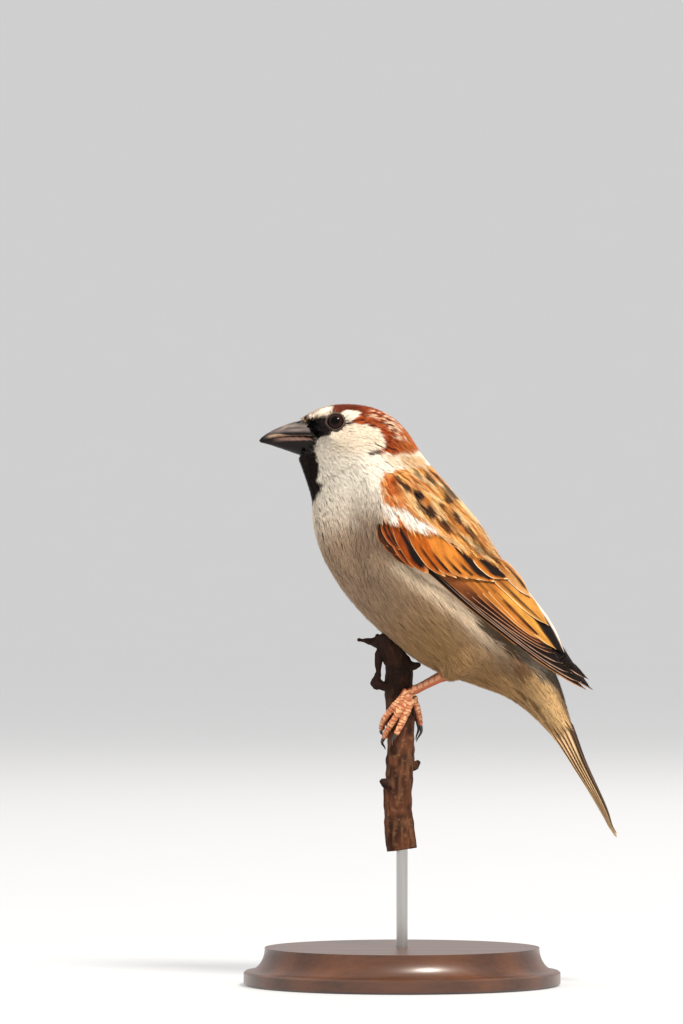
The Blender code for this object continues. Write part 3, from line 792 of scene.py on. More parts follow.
def make_skin():
    """The surface under the feathers, below the outer faces of the solids that it replaces."""
    mesh = closed_surface(BODY + WINGS)
    surface = Surface(mesh)
    points, inwards = surface.points, -surface.normals
    depth = np.full(len(points), COAT_DEPTH)
    for k, (point, way) in enumerate(zip(points, inwards)):
        hit = surface.tree.ray_cast(point + way * 1e-5, way)
        if hit[0] is not None:
            depth[k] = min(COAT_DEPTH, THINNEST_SHARE * hit[3])
    bare_bill = polygon_depth(*from_eye(points), BARE_BILL)
    back, down = from_bend(points)
    vaned = polygon_depth(back, down, VANED)
    depth += smooth(bare_bill, -0.3, 0.6) * 0.6 * MM
    depth += smooth(vaned, 0.2, 1.5) * (np.abs(points[:, 1]) > 3 * MM) * 0.4 * MM
    moved(mesh, inwards * depth[:, None])
    mesh = evaluated(mesh, softening(3))
    moved(mesh, face_taper(points_of(mesh), 0.5))
    # The skin takes the plumage's markings, darkened by painted shade under the coat.
    colours = layered(
        plumage(points_of(mesh)) * 0.85,
        ((30, 19, 15), smooth(vaned, -1.5, 0) * smooth(back, 28, 33) * on_wings(points)),
        (BLACK, smooth(bare_bill, -0.6, 0.1)),
    )
    make_painted("skin", mesh, colours, SKIN, BODY + WINGS)


# ---------------------------------------------------------------- body feathers

# Along the body from the bill's base: place, feather length, strand width, spacing, strands.
COAT = np.array(
    [
        (0, 1.2, 0.11, 0.42, 8),
        (6, 1.6, 0.13, 0.48, 9),
        (14, 2.3, 0.15, 0.60, 10),
        (24, 3.4, 0.18, 0.84, 13),
        (38, 4.6, 0.22, 1.10, 17),
        (60, 5.6, 0.24, 1.20, 18),
        (100, 7.0, 0.26, 1.30, 18),
        (140, 7.0, 0.26, 1.30, 18),
    ],
    float,
)
PLACE, LENGTH, WIDTH, SPACING, STRANDS = range(5)
TRIED_ROOTS = 300000
PATCH = 0.003  # size of a tuft's place on the OFBake map
LARGEST_PIECE = 190000  # triangles
# A strand's root, middle and tip: height over the surface, and the share of its length to get there.
SPINE = ((-0.9 * COAT_DEPTH, 0.0), (-0.22 * MM, 0.55), (0.10 * MM, 0.45))


def coat_value(place, column):
    return np.interp(place / MM, COAT[:, PLACE], COAT[:, column])


def lie(points, normals):
    """The way the feathers point: away from the bill and eyes, then down the body."""
    _, _, tangent = on_axis(points)
    from_bill = points - BILL_BASE
    reach = np.linalg.norm(from_bill, axis=1)
    way = mix(unit(from_bill), tangent, smooth(reach, 10 * MM, 26 * MM))
    eye = EYE * np.stack([np.ones(len(points)), np.sign(points[:, 1]), np.ones(len(points))], 1)
    near = fade(np.linalg.norm(points - eye, axis=1), 2.8 * MM, 6.0 * MM)
    way = mix(way, unit(points - eye), near * 0.85)
    way -= normals * (way * normals).sum(1)[:, None]
    return unit(way)


NEIGHBOURS = list(product((0, -1, 1), repeat=3))


def spread(points, spacing):
    """Keeps points that are at least their spacing from the points kept before them."""
    cell = spacing.max()
    kept, grid = [], {}
    for k, (point, gap) in enumerate(zip(points.tolist(), spacing.tolist())):
        key = tuple(int(c // cell) for c in point)
        spots = ((key[0] + a, key[1] + b, key[2] + c) for a, b, c in NEIGHBOURS)
        others = (other for spot in spots for other in grid.get(spot, ()))
        if all(math.dist(point, other) >= gap for other in others):
            kept.append(k)
            grid.setdefault(key, []).append(point)
    return np.array(kept)


def coat_roots(surface):
    """Where tufts grow: everywhere but on the bill, the eyes and the wings' vanes."""
    points = surface.scatter(TRIED_ROOTS)
    place, _, _ = on_axis(points)
    chance = np.clip(0.5 * MM / (coat_value(place, SPACING) * MM), 0, 1) ** 2
    chance *= fade(place, 92 * MM, 106 * MM)
    points = points[rng.random(len(points)) < chance]
    x, z = from_eye(points)
    bare = (np.hypot(x, z) < 2.5) & (np.abs(points[:, 1]) > 3 * MM)
    bare |= polygon_depth(x, z, BARE_BILL) > 0
    points = points[~bare]
    _, normals = surface.nearest(points)
    back, down = from_bend(points)
    depth = polygon_depth(back, down, VANED)
    bare = depth > np.where(under_wing(back, down), 0.2, -1.5)
    bare &= np.abs(normals[:, 1]) >= 0.25
    bare |= (depth > -1.2) & (back > 30) & on_wings(points)
    points = points[~bare]
    place, _, _ = on_axis(points)
    return points[spread(points, coat_value(place, SPACING) * MM)]


def strands(surface, roots, tuft, place):
    """Every strand's seven corners, their normals, and the three points of its spine."""
    _, normals = surface.nearest(roots)
    normals, ways = normals[tuft], lie(roots, normals)[tuft]
    sides = np.cross(normals, ways)
    n = len(tuft)
    reach = coat_value(place, SPACING)[:, None] * MM * 0.8
    beside = rng.uniform(-1, 1, (n, 1)) * reach
    start = roots[tuft] + sides * beside + ways * rng.uniform(-1, 1, (n, 1)) * reach
    length = coat_value(place, LENGTH)[:, None] * MM * rng.uniform(0.7, 1.15, (n, 1))
    width = coat_value(place, WIDTH)[:, None] * MM * rng.uniform(0.8, 1.2, (n, 1))
    splay = rng.normal(0, 0.07, (n, 1)) - 0.5 * beside / length
    splay = splay + 0.2 * (noise(roots, 5 * MM, 2)[tuft][:, None] - 0.5)
    towards_tail = smooth(place, 86 * MM, 104 * MM)[:, None]
    ways = unit(ways + sides * splay * (1 - 0.7 * towards_tail))
    length = length * (1 - 0.3 * towards_tail)
    loose = looseness(place)
    back, down = from_bend(start)
    below_wing = under_wing(back, down)
    length = length * (1 - 0.35 * smooth(polygon_depth(back, down, VANED), -5, -1.5) * ~below_wing)[:, None]

    points, across, ups = [], [], []
    spot, _ = surface.nearest(start)
    for step, (lift, share) in enumerate(SPINE):
        spot, up = surface.nearest(spot + ways * length * share)
        ways = unit(ways - up * (ways * up).sum(1)[:, None])
        raised = rng.normal(0, 0.05 + 0.07 * step, (n, 1)) * MM * (0.25 + 0.9 * loose)
        back, down = from_bend(spot)
        depth = polygon_depth(back, down, VANED)
        front = fade(back, 3.0, 7.0)
        tucked = smooth(depth, -0.8 + 1.6 * front, 0.3 + 1.8 * front) * below_wing
        over = smooth(depth, -2.5, 0.0) * ~below_wing
        here = lift + (raised if step else 0) + (0.70 * over - 1.8 * tucked)[:, None] * MM
        here = here - 0.2 * MM * step * towards_tail
        points.append(spot + up * here)
        across.append(np.cross(up, ways))
        ups.append(up)
    vertices = np.empty((n, 7, 3))
    normals = np.empty((n, 7, 3))
    for step, share in enumerate((0.5, 0.42)):
        half = width * share
        first = step * 3
        vertices[:, first] = points[step] - across[step] * half
        vertices[:, first + 1] = points[step] + across[step] * half
        vertices[:, first + 2] = points[step] + ups[step] * width * 0.30
        normals[:, first] = unit(ups[step] - across[step] * 0.45)
        normals[:, first + 1] = unit(ups[step] + across[step] * 0.45)
        normals[:, first + 2] = ups[step]
    vertices[:, 6] = points[2]
    normals[:, 6] = ups[2]
    return vertices, normals, points, below_wing


def looseness(place):
    """How loosely the strands lie: 0 on the face and at the tail, 1 on the body."""
    towards_tail = smooth(place, 86 * MM, 104 * MM)[:, None]
    return smooth(place, 14 * MM, 40 * MM)[:, None] * (1 - 0.8 * towards_tail)


def make_coat(surface):
    """Tufts of thin three-sided strands over the skin, in pieces from the bill to the tail."""
    roots = coat_roots(surface)
    place, _, _ = on_axis(roots)
    counts = np.round(coat_value(place, STRANDS)).astype(int)
    tuft = np.repeat(np.arange(len(roots)), counts)
    place = place[tuft]
    n = len(tuft)
    vertices, normals, (start, middle_point, end), below_wing = strands(surface, roots, tuft, place)

    seen = np.where(below_wing[:, None], start * 0.6 + middle_point * 0.4, middle_point * 0.5 + end * 0.5)
    loose = looseness(place)
    spread_out = 0.5 + 0.5 * loose
    tone = plumage(seen) * (1 + spread_out * rng.uniform(-0.20, 0.12, (n, 1)))
    tone = tone * (1 + spread_out * rng.uniform(-0.14, 0.09, (len(roots), 1))[tuft])
    # Painted shade and light: each strand is darker at its root, deep in the coat, and a little lighter at
    # its tip.
    shade = np.array([0.66, 0.66, 0.66, 0.92, 0.92, 0.96, 1.05])
    shade = 1 + (shade - 1) * (0.45 + 0.55 * loose)
    colours = tone[:, None, :] * shade[:, :, None]

    root_place, root_angle, _ = on_axis(roots)
    patch = np.stack([0.02 + 0.96 * root_place / AXIS_PLACE[-1], 0.5 + 0.48 * root_angle / math.pi], 1)
    within = rng.random((n, 2)) - 0.5
    corner = np.array([(-0.1, -0.4), (0.1, -0.4), (0, -0.4), (-0.1, 0.1), (0.1, 0.1), (0, 0.1), (0, 0.4)])
    bake = patch[tuft][:, None, :] + (within[:, None, :] * [0.8, 0.2] + corner[None]) * PATCH

    quads = np.array([(1, 4, 3, 0), (2, 5, 4, 1), (0, 3, 5, 2)])
    ends = np.array([(4, 6, 3), (5, 6, 4), (3, 6, 5), (2, 1, 0)])
    per_strand = len(quads) * 2 + len(ends)
    order = np.argsort(place, kind="stable")
    for number, chosen in enumerate(np.array_split(order, math.ceil(n * per_strand / LARGEST_PIECE)), 1):
        first = (np.arange(len(chosen)) * 7)[:, None, None]
        faces = [(first + quads[None]).reshape(-1, 4), (first + ends[None]).reshape(-1, 3)]
        rows = [values[chosen].reshape(-1, values.shape[-1]) for values in (vertices, colours, bake, normals)]
        mesh = make_mesh(f"coat_{number}", rows[0], faces, rows[1], rows[2], normals=rows[3])
        make_object(f"coat_{number}", mesh, DOWN)


# ---------------------------------------------------------------- vanes

ALONG, ACROSS = 22, 13
U = 1 - (1 - np.linspace(0, 1, ALONG)) ** 1.5  # closer together towards the tip
V = np.sin(np.linspace(-1, 1, ACROSS) * math.pi / 2)  # closer together towards the edges
UU, VV = np.meshgrid(U, V, indexing="ij")
STREAK_TINT = 2 - np.array([1.0, 0.93, 0.84])  # streaks take out blue before red


def vane_outline(blunt=2.0, start=0.55):
    """Half width of a vane along its length, as a share of its widest."""
    body = start + (1 - start) * smooth(U, 0.0, 0.4)
    end = np.clip((U - 0.62) / 0.38, 0, 1)
    return body * np.maximum((1 - end**blunt) ** (1 / blunt), 0.05)


def to_edge(length, half):
    """Distance of each place on a vane from its outline. half is the half width along it."""
    side = np.stack([U * length, half], 1)
    outline = np.vstack([side, side[::-1] * [1, -1]])
    return stroke_distance(UU.ravel() * length, (VV * half[:, None]).ravel(), outline)


def vane_colours(look, seed, ratio, edge):
    """Colours over one vane from its look: see the looks of feathers."""
    u, v = UU.ravel(), VV.ravel()
    colour = np.tile(linear(*look["vane"]), (len(u), 1))
    if "base" in look:
        share = smooth(u, look["base_to"] - 0.2, look["base_to"])
        colour = mix(linear(*look["base"]), colour, share)
    if "core" in look:
        half = np.interp(u, *zip(*look["core_shape"]))
        wobble = 0.10 * (lumps(seed, u * 9, v * 0, u * 0 + seed) - 0.5)
        inside = half - np.abs(v - look.get("core_shift", 0.0)) + wobble
        colour = layered(colour, (look["core"], smooth(inside, -0.12, 0.12)))
    if "tip" in look:
        ragged = u + 0.08 * (lumps(seed + 3, v * 5, v * 0, u * 0 + seed) - 0.5)
        share = smooth(ragged, look["tip_from"] - 0.07, look["tip_from"] + 0.07)
        colour = layered(colour, (look["tip"], share))
    if "rim" in look:
        width = look["rim_width"]
        amount = fade(edge, width * 0.6, width * 1.5) * smooth(u, 0.05, 0.3)
        upper = between(look.get("rim_upper", 1.0), 1.0, smooth(u, 0.94, 0.98))
        amount = amount * np.where(v > 0, upper, look.get("rim_lower", 1.0))
        colour = layered(colour, (look["rim"], amount))
    slant = u * ratio * 0.5 - np.abs(v) * 0.5
    streak = lumps(seed + 7, slant * 1.6, v * 2.2, u * 0 + seed)
    fine = lumps(seed + 9, slant * 6, v * 3.0, u * 0 + seed)
    return colour * (1.12 - 0.42 * streak[:, None] * STREAK_TINT - 0.22 * fine[:, None])


def shell(grid, normals, thickness):
    """A closed thin sheet from a grid of points: its upper and lower faces and its rim."""
    rows, columns = ALONG, ACROSS
    taper = (1 - 0.55 * np.abs(VV.ravel()) ** 3)[:, None]
    vertices = np.vstack([grid, grid - normals * thickness * taper])
    index = np.arange(rows * columns).reshape(rows, columns)
    top = np.stack([index[:-1, :-1], index[:-1, 1:], index[1:, 1:], index[1:, :-1]], -1).reshape(-1, 4)
    under = top[:, ::-1] + rows * columns
    loop = np.concatenate([index[0, :-1], index[:-1, -1], index[-1, :0:-1], index[:0:-1, 0]])
    after = np.roll(loop, -1)
    rim = np.stack([after, loop, loop + rows * columns, after + rows * columns], -1)
    return vertices, np.concatenate([top, under, rim])


# Painted shade: a vane's lower face is darker than its upper one.
UNDERSIDE_SHADE = 0.75  # brightness of a vane's lower face
VANE_THICKNESS = 0.15 * MM


class Feathers:
    """Collects vanes into one mesh, each with its own rectangle of the OFBake map."""

    def __init__(self, name):
        self.name = name
        self.vertices, self.faces, self.colours, self.lines = [], [], [], []

    def add(self, grid, normals, look, seed, length, half, thickness=VANE_THICKNESS):
        width = 2 * half.max()
        start = sum(len(v) for v in self.vertices)
        vertices, faces = shell(grid, normals, thickness)
        if (np.cross(grid[ACROSS] - grid[0], grid[1] - grid[0]) * normals[0]).sum() > 0:
            faces = faces[:, ::-1]
        colours = vane_colours(look, seed, 2 * length / width, to_edge(length, half) * 2 / width)
        lines = np.stack([VV.ravel() * width / 2 / MM, UU.ravel() * length / MM], 1)
        self.vertices.append(vertices)
        self.faces.append(faces + start)
        self.colours.append(np.vstack([colours, colours * UNDERSIDE_SHADE]))
        self.lines.append(np.vstack([lines, lines]))

    def bake_map(self):
        """Rectangles in rows and columns, upper and lower faces side by side."""
        count = 2 * len(self.vertices)
        columns = math.ceil(math.sqrt(count * 2.0))
        rows = math.ceil(count / columns)
        cell = np.stack([(VV.ravel() + 1) / 2, UU.ravel()], 1) * 0.9 + 0.05
        return np.vstack([(cell + [k % columns, k // columns]) / [columns, rows] for k in range(count)])

    def finish(self, slot, replaces=()):
        mesh = make_mesh(
            self.name,
            np.vstack(self.vertices),
            [np.vstack(self.faces)],
            np.vstack(self.colours),
            self.bake_map(),
            np.vstack(self.lines),
        )
        make_object(self.name, mesh, VANE, replaces)


# ---------------------------------------------------------------- folded wings


class WingFace:
    """The folded wing's outer face as a smooth height over the bird's profile plane."""

    POWERS = [(i, j) for i in range(5) for j in range(5 - i)]

    def __init__(self, side, word):
        surface = Surface(cad_mesh((f"wing_{word}_coverts", f"wing_{word}_flight")))
        places = np.vstack([surface.points, surface.points[surface.triangles].mean(1)])
        _, normals = surface.nearest(places)
        outer = normals[:, 1] * side > 0.3
        self.side = side
        self.centre = places[outer].mean(0)
        terms = self.terms(places[outer][:, [0, 2]])
        heights = places[outer][:, 1] * side
        weight = 1e-4 * np.eye(terms.shape[1])
        self.factors = np.linalg.solve(terms.T @ terms + weight, terms.T @ heights)

    def terms(self, xz):
        a, b = ((xz - self.centre[[0, 2]]) / (25 * MM)).T
        return np.stack([a**i * b**j for i, j in self.POWERS], 1)

    def height(self, xz):
        """Height of the face, kept a little off the bird's middle plane."""
        height, least = self.terms(xz) @ self.factors, 1.5 * MM
        return np.where(height > least, height, least * np.exp(np.minimum(height / least - 1, 0) * 0.5))

    def place(self, xz, lift):
        """Points over the face at given places of the profile plane, and their normals."""
        height = self.height(xz)
        step = 0.2 * MM
        slope_x = (self.height(xz + [step, 0]) - height) / step
        slope_z = (self.height(xz + [0, step]) - height) / step
        out = unit(np.stack([-slope_x, np.ones(len(xz)), -slope_z], 1))
        points = np.stack([xz[:, 0], height, xz[:, 1]], 1) + out * lift[:, None]
        mirror = np.array([1, self.side, 1])
        return points * mirror, out * mirror


def wing_vane(feathers, face, root, tip, width, look, lift, seed, bend, tilt=0.4, blunt=2.0, sink=0.5):
    """One feather on the folded wing. root and tip are mm back from and down from the bend."""
    start, end = (WING_BEND[[0, 2]] + np.array([back, -down]) * MM for back, down in (root, tip))
    run = end - start
    length = np.linalg.norm(run)
    way = run / length
    upper = np.array([-way[1], way[0]])
    spine = start + run * U[:, None] + upper * (bend * MM * 4 * U * (1 - U))[:, None]
    half = vane_outline(blunt) * width * MM / 2
    sweep = -0.22 * width * MM * smooth(U, 0.5, 1.0)
    xz = spine[:, None] + upper * (half[:, None] * V)[..., None] + way * (sweep[:, None] * V**2)[..., None]
    # In mm: the tip lies highest, the web is tilted and arched, the shaft stands up, the root sinks.
    heights = lift + 0.45 * (UU - 1) - tilt * VV * 0.5 - 0.22 * VV**2
    heights = heights + 0.07 * np.exp(-((VV / 0.12) ** 2)) - sink * fade(UU, 0.0, 0.34)
    grid, normals = face.place(xz.reshape(-1, 2), heights.ravel() * MM)
    feathers.add(grid, normals, look, seed, length, half)


# How each kind of feather looks. Shares of its length run from root to tip, and shares of its half
# width from -1 at the lower edge to 1 at the upper one.
#   vane, base      its main colour, and the colour at its root as far as base_to
#   core            a dark middle: core_shape gives half widths along it, core_shift its offset
#   tip             the colour beyond tip_from
#   rim             a pale edge: its width, and its strength at the upper and lower edges
DARK = (20, 12, 10)

PRIMARY = {"vane": DARK, "rim": (206, 166, 140), "rim_width": 0.08, "rim_upper": 0.0}
OUTER_PRIMARY = {"vane": DARK, "rim": (206, 138, 76), "rim_width": 0.08, "rim_upper": 0.0}
SECONDARY = {
    "vane": (40, 20, 13), "base": (128, 72, 34), "base_to": 0.42,
    "rim": (212, 154, 116), "rim_width": 0.075, "rim_upper": 0.1,
}  # fmt: skip
MIDDLE_SECONDARY = {
    "vane": (78, 36, 16), "base": (164, 98, 42), "base_to": 0.5,
    "rim": (206, 134, 84), "rim_width": 0.08, "rim_upper": 0.1,
}  # fmt: skip
INNER_SECONDARY = {
    "vane": (190, 116, 46), "core": (54, 27, 14), "core_shift": -0.15,
    "core_shape": ((0, 0.10), (0.5, 0.16), (0.9, 0.24), (1, 0.3)),
    "rim": (232, 184, 124), "rim_width": 0.07, "rim_upper": 0.1,
}  # fmt: skip
PRIMARY_COVERT = {"vane": (58, 31, 18), "rim": (158, 88, 42), "rim_width": 0.16}
GOLD_TERTIAL = {
    "vane": (206, 146, 64), "base": (176, 100, 34), "base_to": 0.45, "core": (36, 21, 14), "core_shift": 0.75,
    "core_shape": ((0, 0.05), (0.45, 0.08), (0.7, 0.36), (0.9, 0.72), (1, 0.8)),
    "rim": (240, 200, 140), "rim_width": 0.06, "rim_upper": 0.3,
}  # fmt: skip
TERTIAL = {
    "vane": (206, 142, 64), "base": (178, 108, 42), "base_to": 0.5, "core": (52, 29, 16), "core_shift": -0.55,
    "core_shape": ((0, 0.08), (0.5, 0.14), (0.8, 0.16), (0.93, 0.0), (1, 0.0)),
    "rim": (240, 204, 152), "rim_width": 0.08, "rim_upper": 0.3,
}  # fmt: skip
UPPER_TERTIAL = {
    "vane": (206, 152, 92), "base": (176, 112, 52), "base_to": 0.6, "core": (52, 30, 20), "core_shift": 0.3,
    "core_shape": ((0, 0.2), (0.4, 0.16), (0.8, 0.3), (0.93, 0.0), (1, -0.2)),
    "rim": (240, 208, 176), "rim_width": 0.10, "rim_upper": 0.7,
}  # fmt: skip
BLACK_TERTIAL = {"vane": (22, 13, 11), "rim": (252, 230, 216), "rim_width": 0.30, "rim_lower": 0.0}
GREATER = {
    "vane": (182, 92, 22), "rim": (238, 192, 138), "rim_width": 0.08,
    "core": (36, 19, 12), "core_shift": -0.12,
    "core_shape": ((0, -0.2), (0.3, -0.05), (0.5, 0.13), (0.7, 0.22), (0.85, 0.24), (0.93, -0.1), (1, -0.3)),
    "tip": (208, 142, 78), "tip_from": 0.93,
}  # fmt: skip
REAR_GREATER = {**GREATER, "vane": (198, 120, 44)}
OUTER_GREATER = {
    "vane": (158, 72, 24), "core": (40, 22, 16), "core_shift": -0.2,
    "core_shape": ((0, 0.2), (0.6, 0.3), (0.85, 0.2), (1, -0.2)), "rim": (214, 140, 82), "rim_width": 0.12,
}  # fmt: skip
LENS = {
    "vane": (190, 110, 34), "rim": (244, 210, 164), "rim_width": 0.09,
    "core": (24, 15, 14), "core_shift": -0.02,
    "core_shape": ((0, 0.25), (0.3, 0.40), (0.75, 0.62), (0.88, 0.40), (0.93, 0.0), (1, 0.0)),
}  # fmt: skip
FRONT_LENS = {
    **LENS, "vane": (158, 70, 18), "core": (20, 12, 11), "rim": (206, 150, 92), "core_shift": 0.12,
    "core_shape": ((0, 0.2), (0.35, 0.28), (0.75, 0.66), (0.86, 0.5), (0.9, 0.0), (1, 0.0)),
    "tip": (204, 144, 88), "tip_from": 0.93,
}  # fmt: skip

# Coverts: root back, root down, tip back, tip down, width, look, lift off the wing's face.
PRIMARY_COVERTS = (
    (1.0, 14.2, 3.2, 20.6, 2.4, PRIMARY_COVERT, -0.20),
    (1.2, 14.6, 5.6, 22.9, 2.8, PRIMARY_COVERT, -0.13),
    (1.8, 15.2, 8.4, 25.4, 3.0, PRIMARY_COVERT, -0.06),
)
GREATER_COVERTS = (
    (1.2, 12.6, 6.4, 21.4, 2.4, OUTER_GREATER, 0.00),
    (2.4, 12.8, 9.8, 26.1, 2.8, OUTER_GREATER, 0.07),
    (4.4, 12.4, 13.8, 27.7, 4.6, FRONT_LENS, 0.14),
    (8.0, 13.4, 18.2, 28.4, 4.0, GREATER, 0.21),
    (10.4, 14.6, 21.2, 28.8, 4.0, GREATER, 0.28),
    (13.0, 15.6, 24.2, 29.1, 4.0, REAR_GREATER, 0.35),
    (16.0, 16.9, 27.2, 29.5, 4.2, REAR_GREATER, 0.42),
    (20.2, 19.0, 31.2, 30.0, 4.6, LENS, 0.50),
    (24.6, 20.2, 34.7, 29.4, 4.6, LENS, 0.58),
)
SECONDARIES = (SECONDARY, SECONDARY, MIDDLE_SECONDARY, INNER_SECONDARY, INNER_SECONDARY)
# As the coverts, and last how far each bends upwards.
TERTIALS = (
    (32.0, 25.6, 50.2, 49.4, 4.8, BLACK_TERTIAL, 0.20, 0.6),
    (23.6, 25.2, 47.4, 47.8, 4.8, GOLD_TERTIAL, 0.40, 1.2),
    (27.0, 23.8, 45.4, 41.6, 4.6, TERTIAL, 0.52, 0.7),
    (29.8, 21.8, 40.6, 34.2, 3.6, UPPER_TERTIAL, 0.64, 0.3),
)
# Primaries from the outermost inwards: back and down.
PRIMARY_TIPS = ((56.6, 55.6), (55.9, 58.2), (57.7, 58.3), (54.6, 56.4), (51.9, 54.0), (49.4, 51.4))
PRIMARY_ROOTS = ((20.0, 24.0), (10.0, 23.2), (16.0, 23.6), (12.0, 23.4), (13.4, 23.6), (15.0, 23.8))


def make_wing(side, word):
    face = WingFace(side, word)
    flight = Feathers(f"flight_feathers_{word}")
    for k, (root, tip) in enumerate(zip(PRIMARY_ROOTS, PRIMARY_TIPS)):
        look = OUTER_PRIMARY if k == 1 else PRIMARY
        blunt = 1.7 if k < 3 else 2.3
        wing_vane(flight, face, root, tip, 3.9, look, -0.38 + 0.07 * k, k, -0.3, blunt=blunt)
    for k, look in enumerate(SECONDARIES):
        root = (14.4 + 2.7 * k, 25.2)
        tip = (47.4 - 1.15 * k, 48.8 - 1.2 * k)
        wing_vane(flight, face, root, tip, 3.6, look, 0.05 + 0.08 * k, 20 + k, -0.1, blunt=2.3)
    for k, (a, b, c, d, width, look, lift, bend) in enumerate(TERTIALS):
        wing_vane(flight, face, (a, b), (c, d), width, look, lift, 40 + k, bend, blunt=1.6, sink=1.2)
    flight.finish("flight_feathers")

    coverts = Feathers(f"wing_coverts_{word}")
    for k, (a, b, c, d, width, look, lift) in enumerate(PRIMARY_COVERTS + GREATER_COVERTS):
        wing_vane(coverts, face, (a, b), (c, d), width, look, lift, 60 + k, -0.7, tilt=0.5)
    coverts.finish("wing_coverts")


# ---------------------------------------------------------------- tail

RECTRIX = {
    "vane": (216, 178, 134), "rim": (226, 194, 152), "rim_width": 0.30,
    "core": (112, 82, 58), "core_shape": ((0, 0.05), (1, 0.05)),
}  # fmt: skip
TOP_RECTRIX = {**RECTRIX, "vane": (70, 52, 42), "rim": (120, 92, 72), "rim_width": 0.12}
# How far the outer webs of each layer curve down, as a share of the tail's depth, from the top.
DROOP = (0.14, 0.25, 0.25, 0.25, 0.25, 0.18)
BURIED = 5 * MM  # of each feather's root in the body
RECTRIX_THICKNESS = 0.10 * MM


def tail_faces(surface, start, axis, up, stations):
    """Heights of the tail's upper and lower faces at places along its axis."""
    faces = []
    for way in (-up, up):
        heights = []
        for reach in stations:
            hit = surface.tree.ray_cast(Vector(start + axis * reach - way * 30 * MM), Vector(way))
            heights.append((np.array(hit[0]) - start) @ up if hit[0] else np.nan)
        heights = np.array(heights)
        good = ~np.isnan(heights)
        faces.append(np.interp(stations, stations[good], heights[good]))
    return faces


def make_tail():
    """Twelve tail feathers in a closed stack. Each one's outer web curves down at the side."""
    surface = Surface(cad_mesh(("tail",)))
    start = np.array([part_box("tail")[0].x + 3 * MM, 0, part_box("tail")[1].z - 3 * MM])
    axis = unit(TAIL_TIP - middle("rump") * [1, 0, 1])
    up = np.array([-axis[2], 0, axis[0]])
    last = ((surface.points - start) @ axis).max()
    half_tail = np.abs(surface.points[:, 1]).max()
    stations = np.linspace(0.0, last - 0.8 * MM, 12)
    tops, bottoms = tail_faces(surface, start, axis, up, stations)
    feathers = Feathers("tail_feathers")
    for layer in reversed(range(len(DROOP))):
        for side in (LEFT, RIGHT):
            length = last * (0.985 - 0.009 * abs(layer - 3))
            reach = U * (length + BURIED) - BURIED
            share = 0.02 + (0.02 if side == LEFT else 0.0) + (0.155 * layer - 0.05 if layer else 0.0)
            top, bottom = np.interp(reach, stations, tops), np.interp(reach, stations, bottoms)
            thin = 0.25 * smooth(reach, last * 0.7, last)
            top, bottom = between(top, bottom, thin), between(bottom, top, thin)
            level = top * (1 - share) + bottom * share
            droop = (top - bottom) * DROOP[layer]
            half = vane_outline(2.4, 0.75) * half_tail * 0.5
            centre = half_tail * (0.24 + 0.05 * layer) * (0.8 + 0.2 * U)
            widest = half_tail * (0.84 + 0.13 * U) * (0.93 + 0.012 * layer)
            outward = np.minimum(half, widest - centre)
            outward = outward - half_tail * 0.03 * max(layer - 1, 0) * fade(U, 0.05, 0.4)
            across = centre[:, None] + np.where(V > 0, outward[:, None], half[:, None]) * V
            outer = np.clip(across / (centre + outward)[:, None], 0, 1)
            fall = smooth(outer, 0.6, 1.0) * droop[:, None]
            out = np.array([0, side, 0])
            grid = start + axis * reach[:, None, None] + up * (level[:, None] - fall)[..., None]
            grid = grid + out * across[..., None]
            tilt = np.gradient(fall, axis=1) / np.maximum(np.gradient(across, axis=1), 1e-5)
            normals = unit(up + out * np.clip(tilt, 0, 3)[..., None])
            look = TOP_RECTRIX if layer == 0 else RECTRIX
            feathers.add(
                grid.reshape(-1, 3), normals.reshape(-1, 3), look, 500 + layer * 2 + side,
                length, half, RECTRIX_THICKNESS,
            )  # fmt: skip
    feathers.finish("flight_feathers", ("tail",))


# ---------------------------------------------------------------- bill


def refined(node_name, levels):
    """A smooth, finer copy of a CAD node's mesh."""
    return evaluated(cad_mesh((node_name,)), ("SUBSURF", {"levels": levels, "render_levels": levels}))


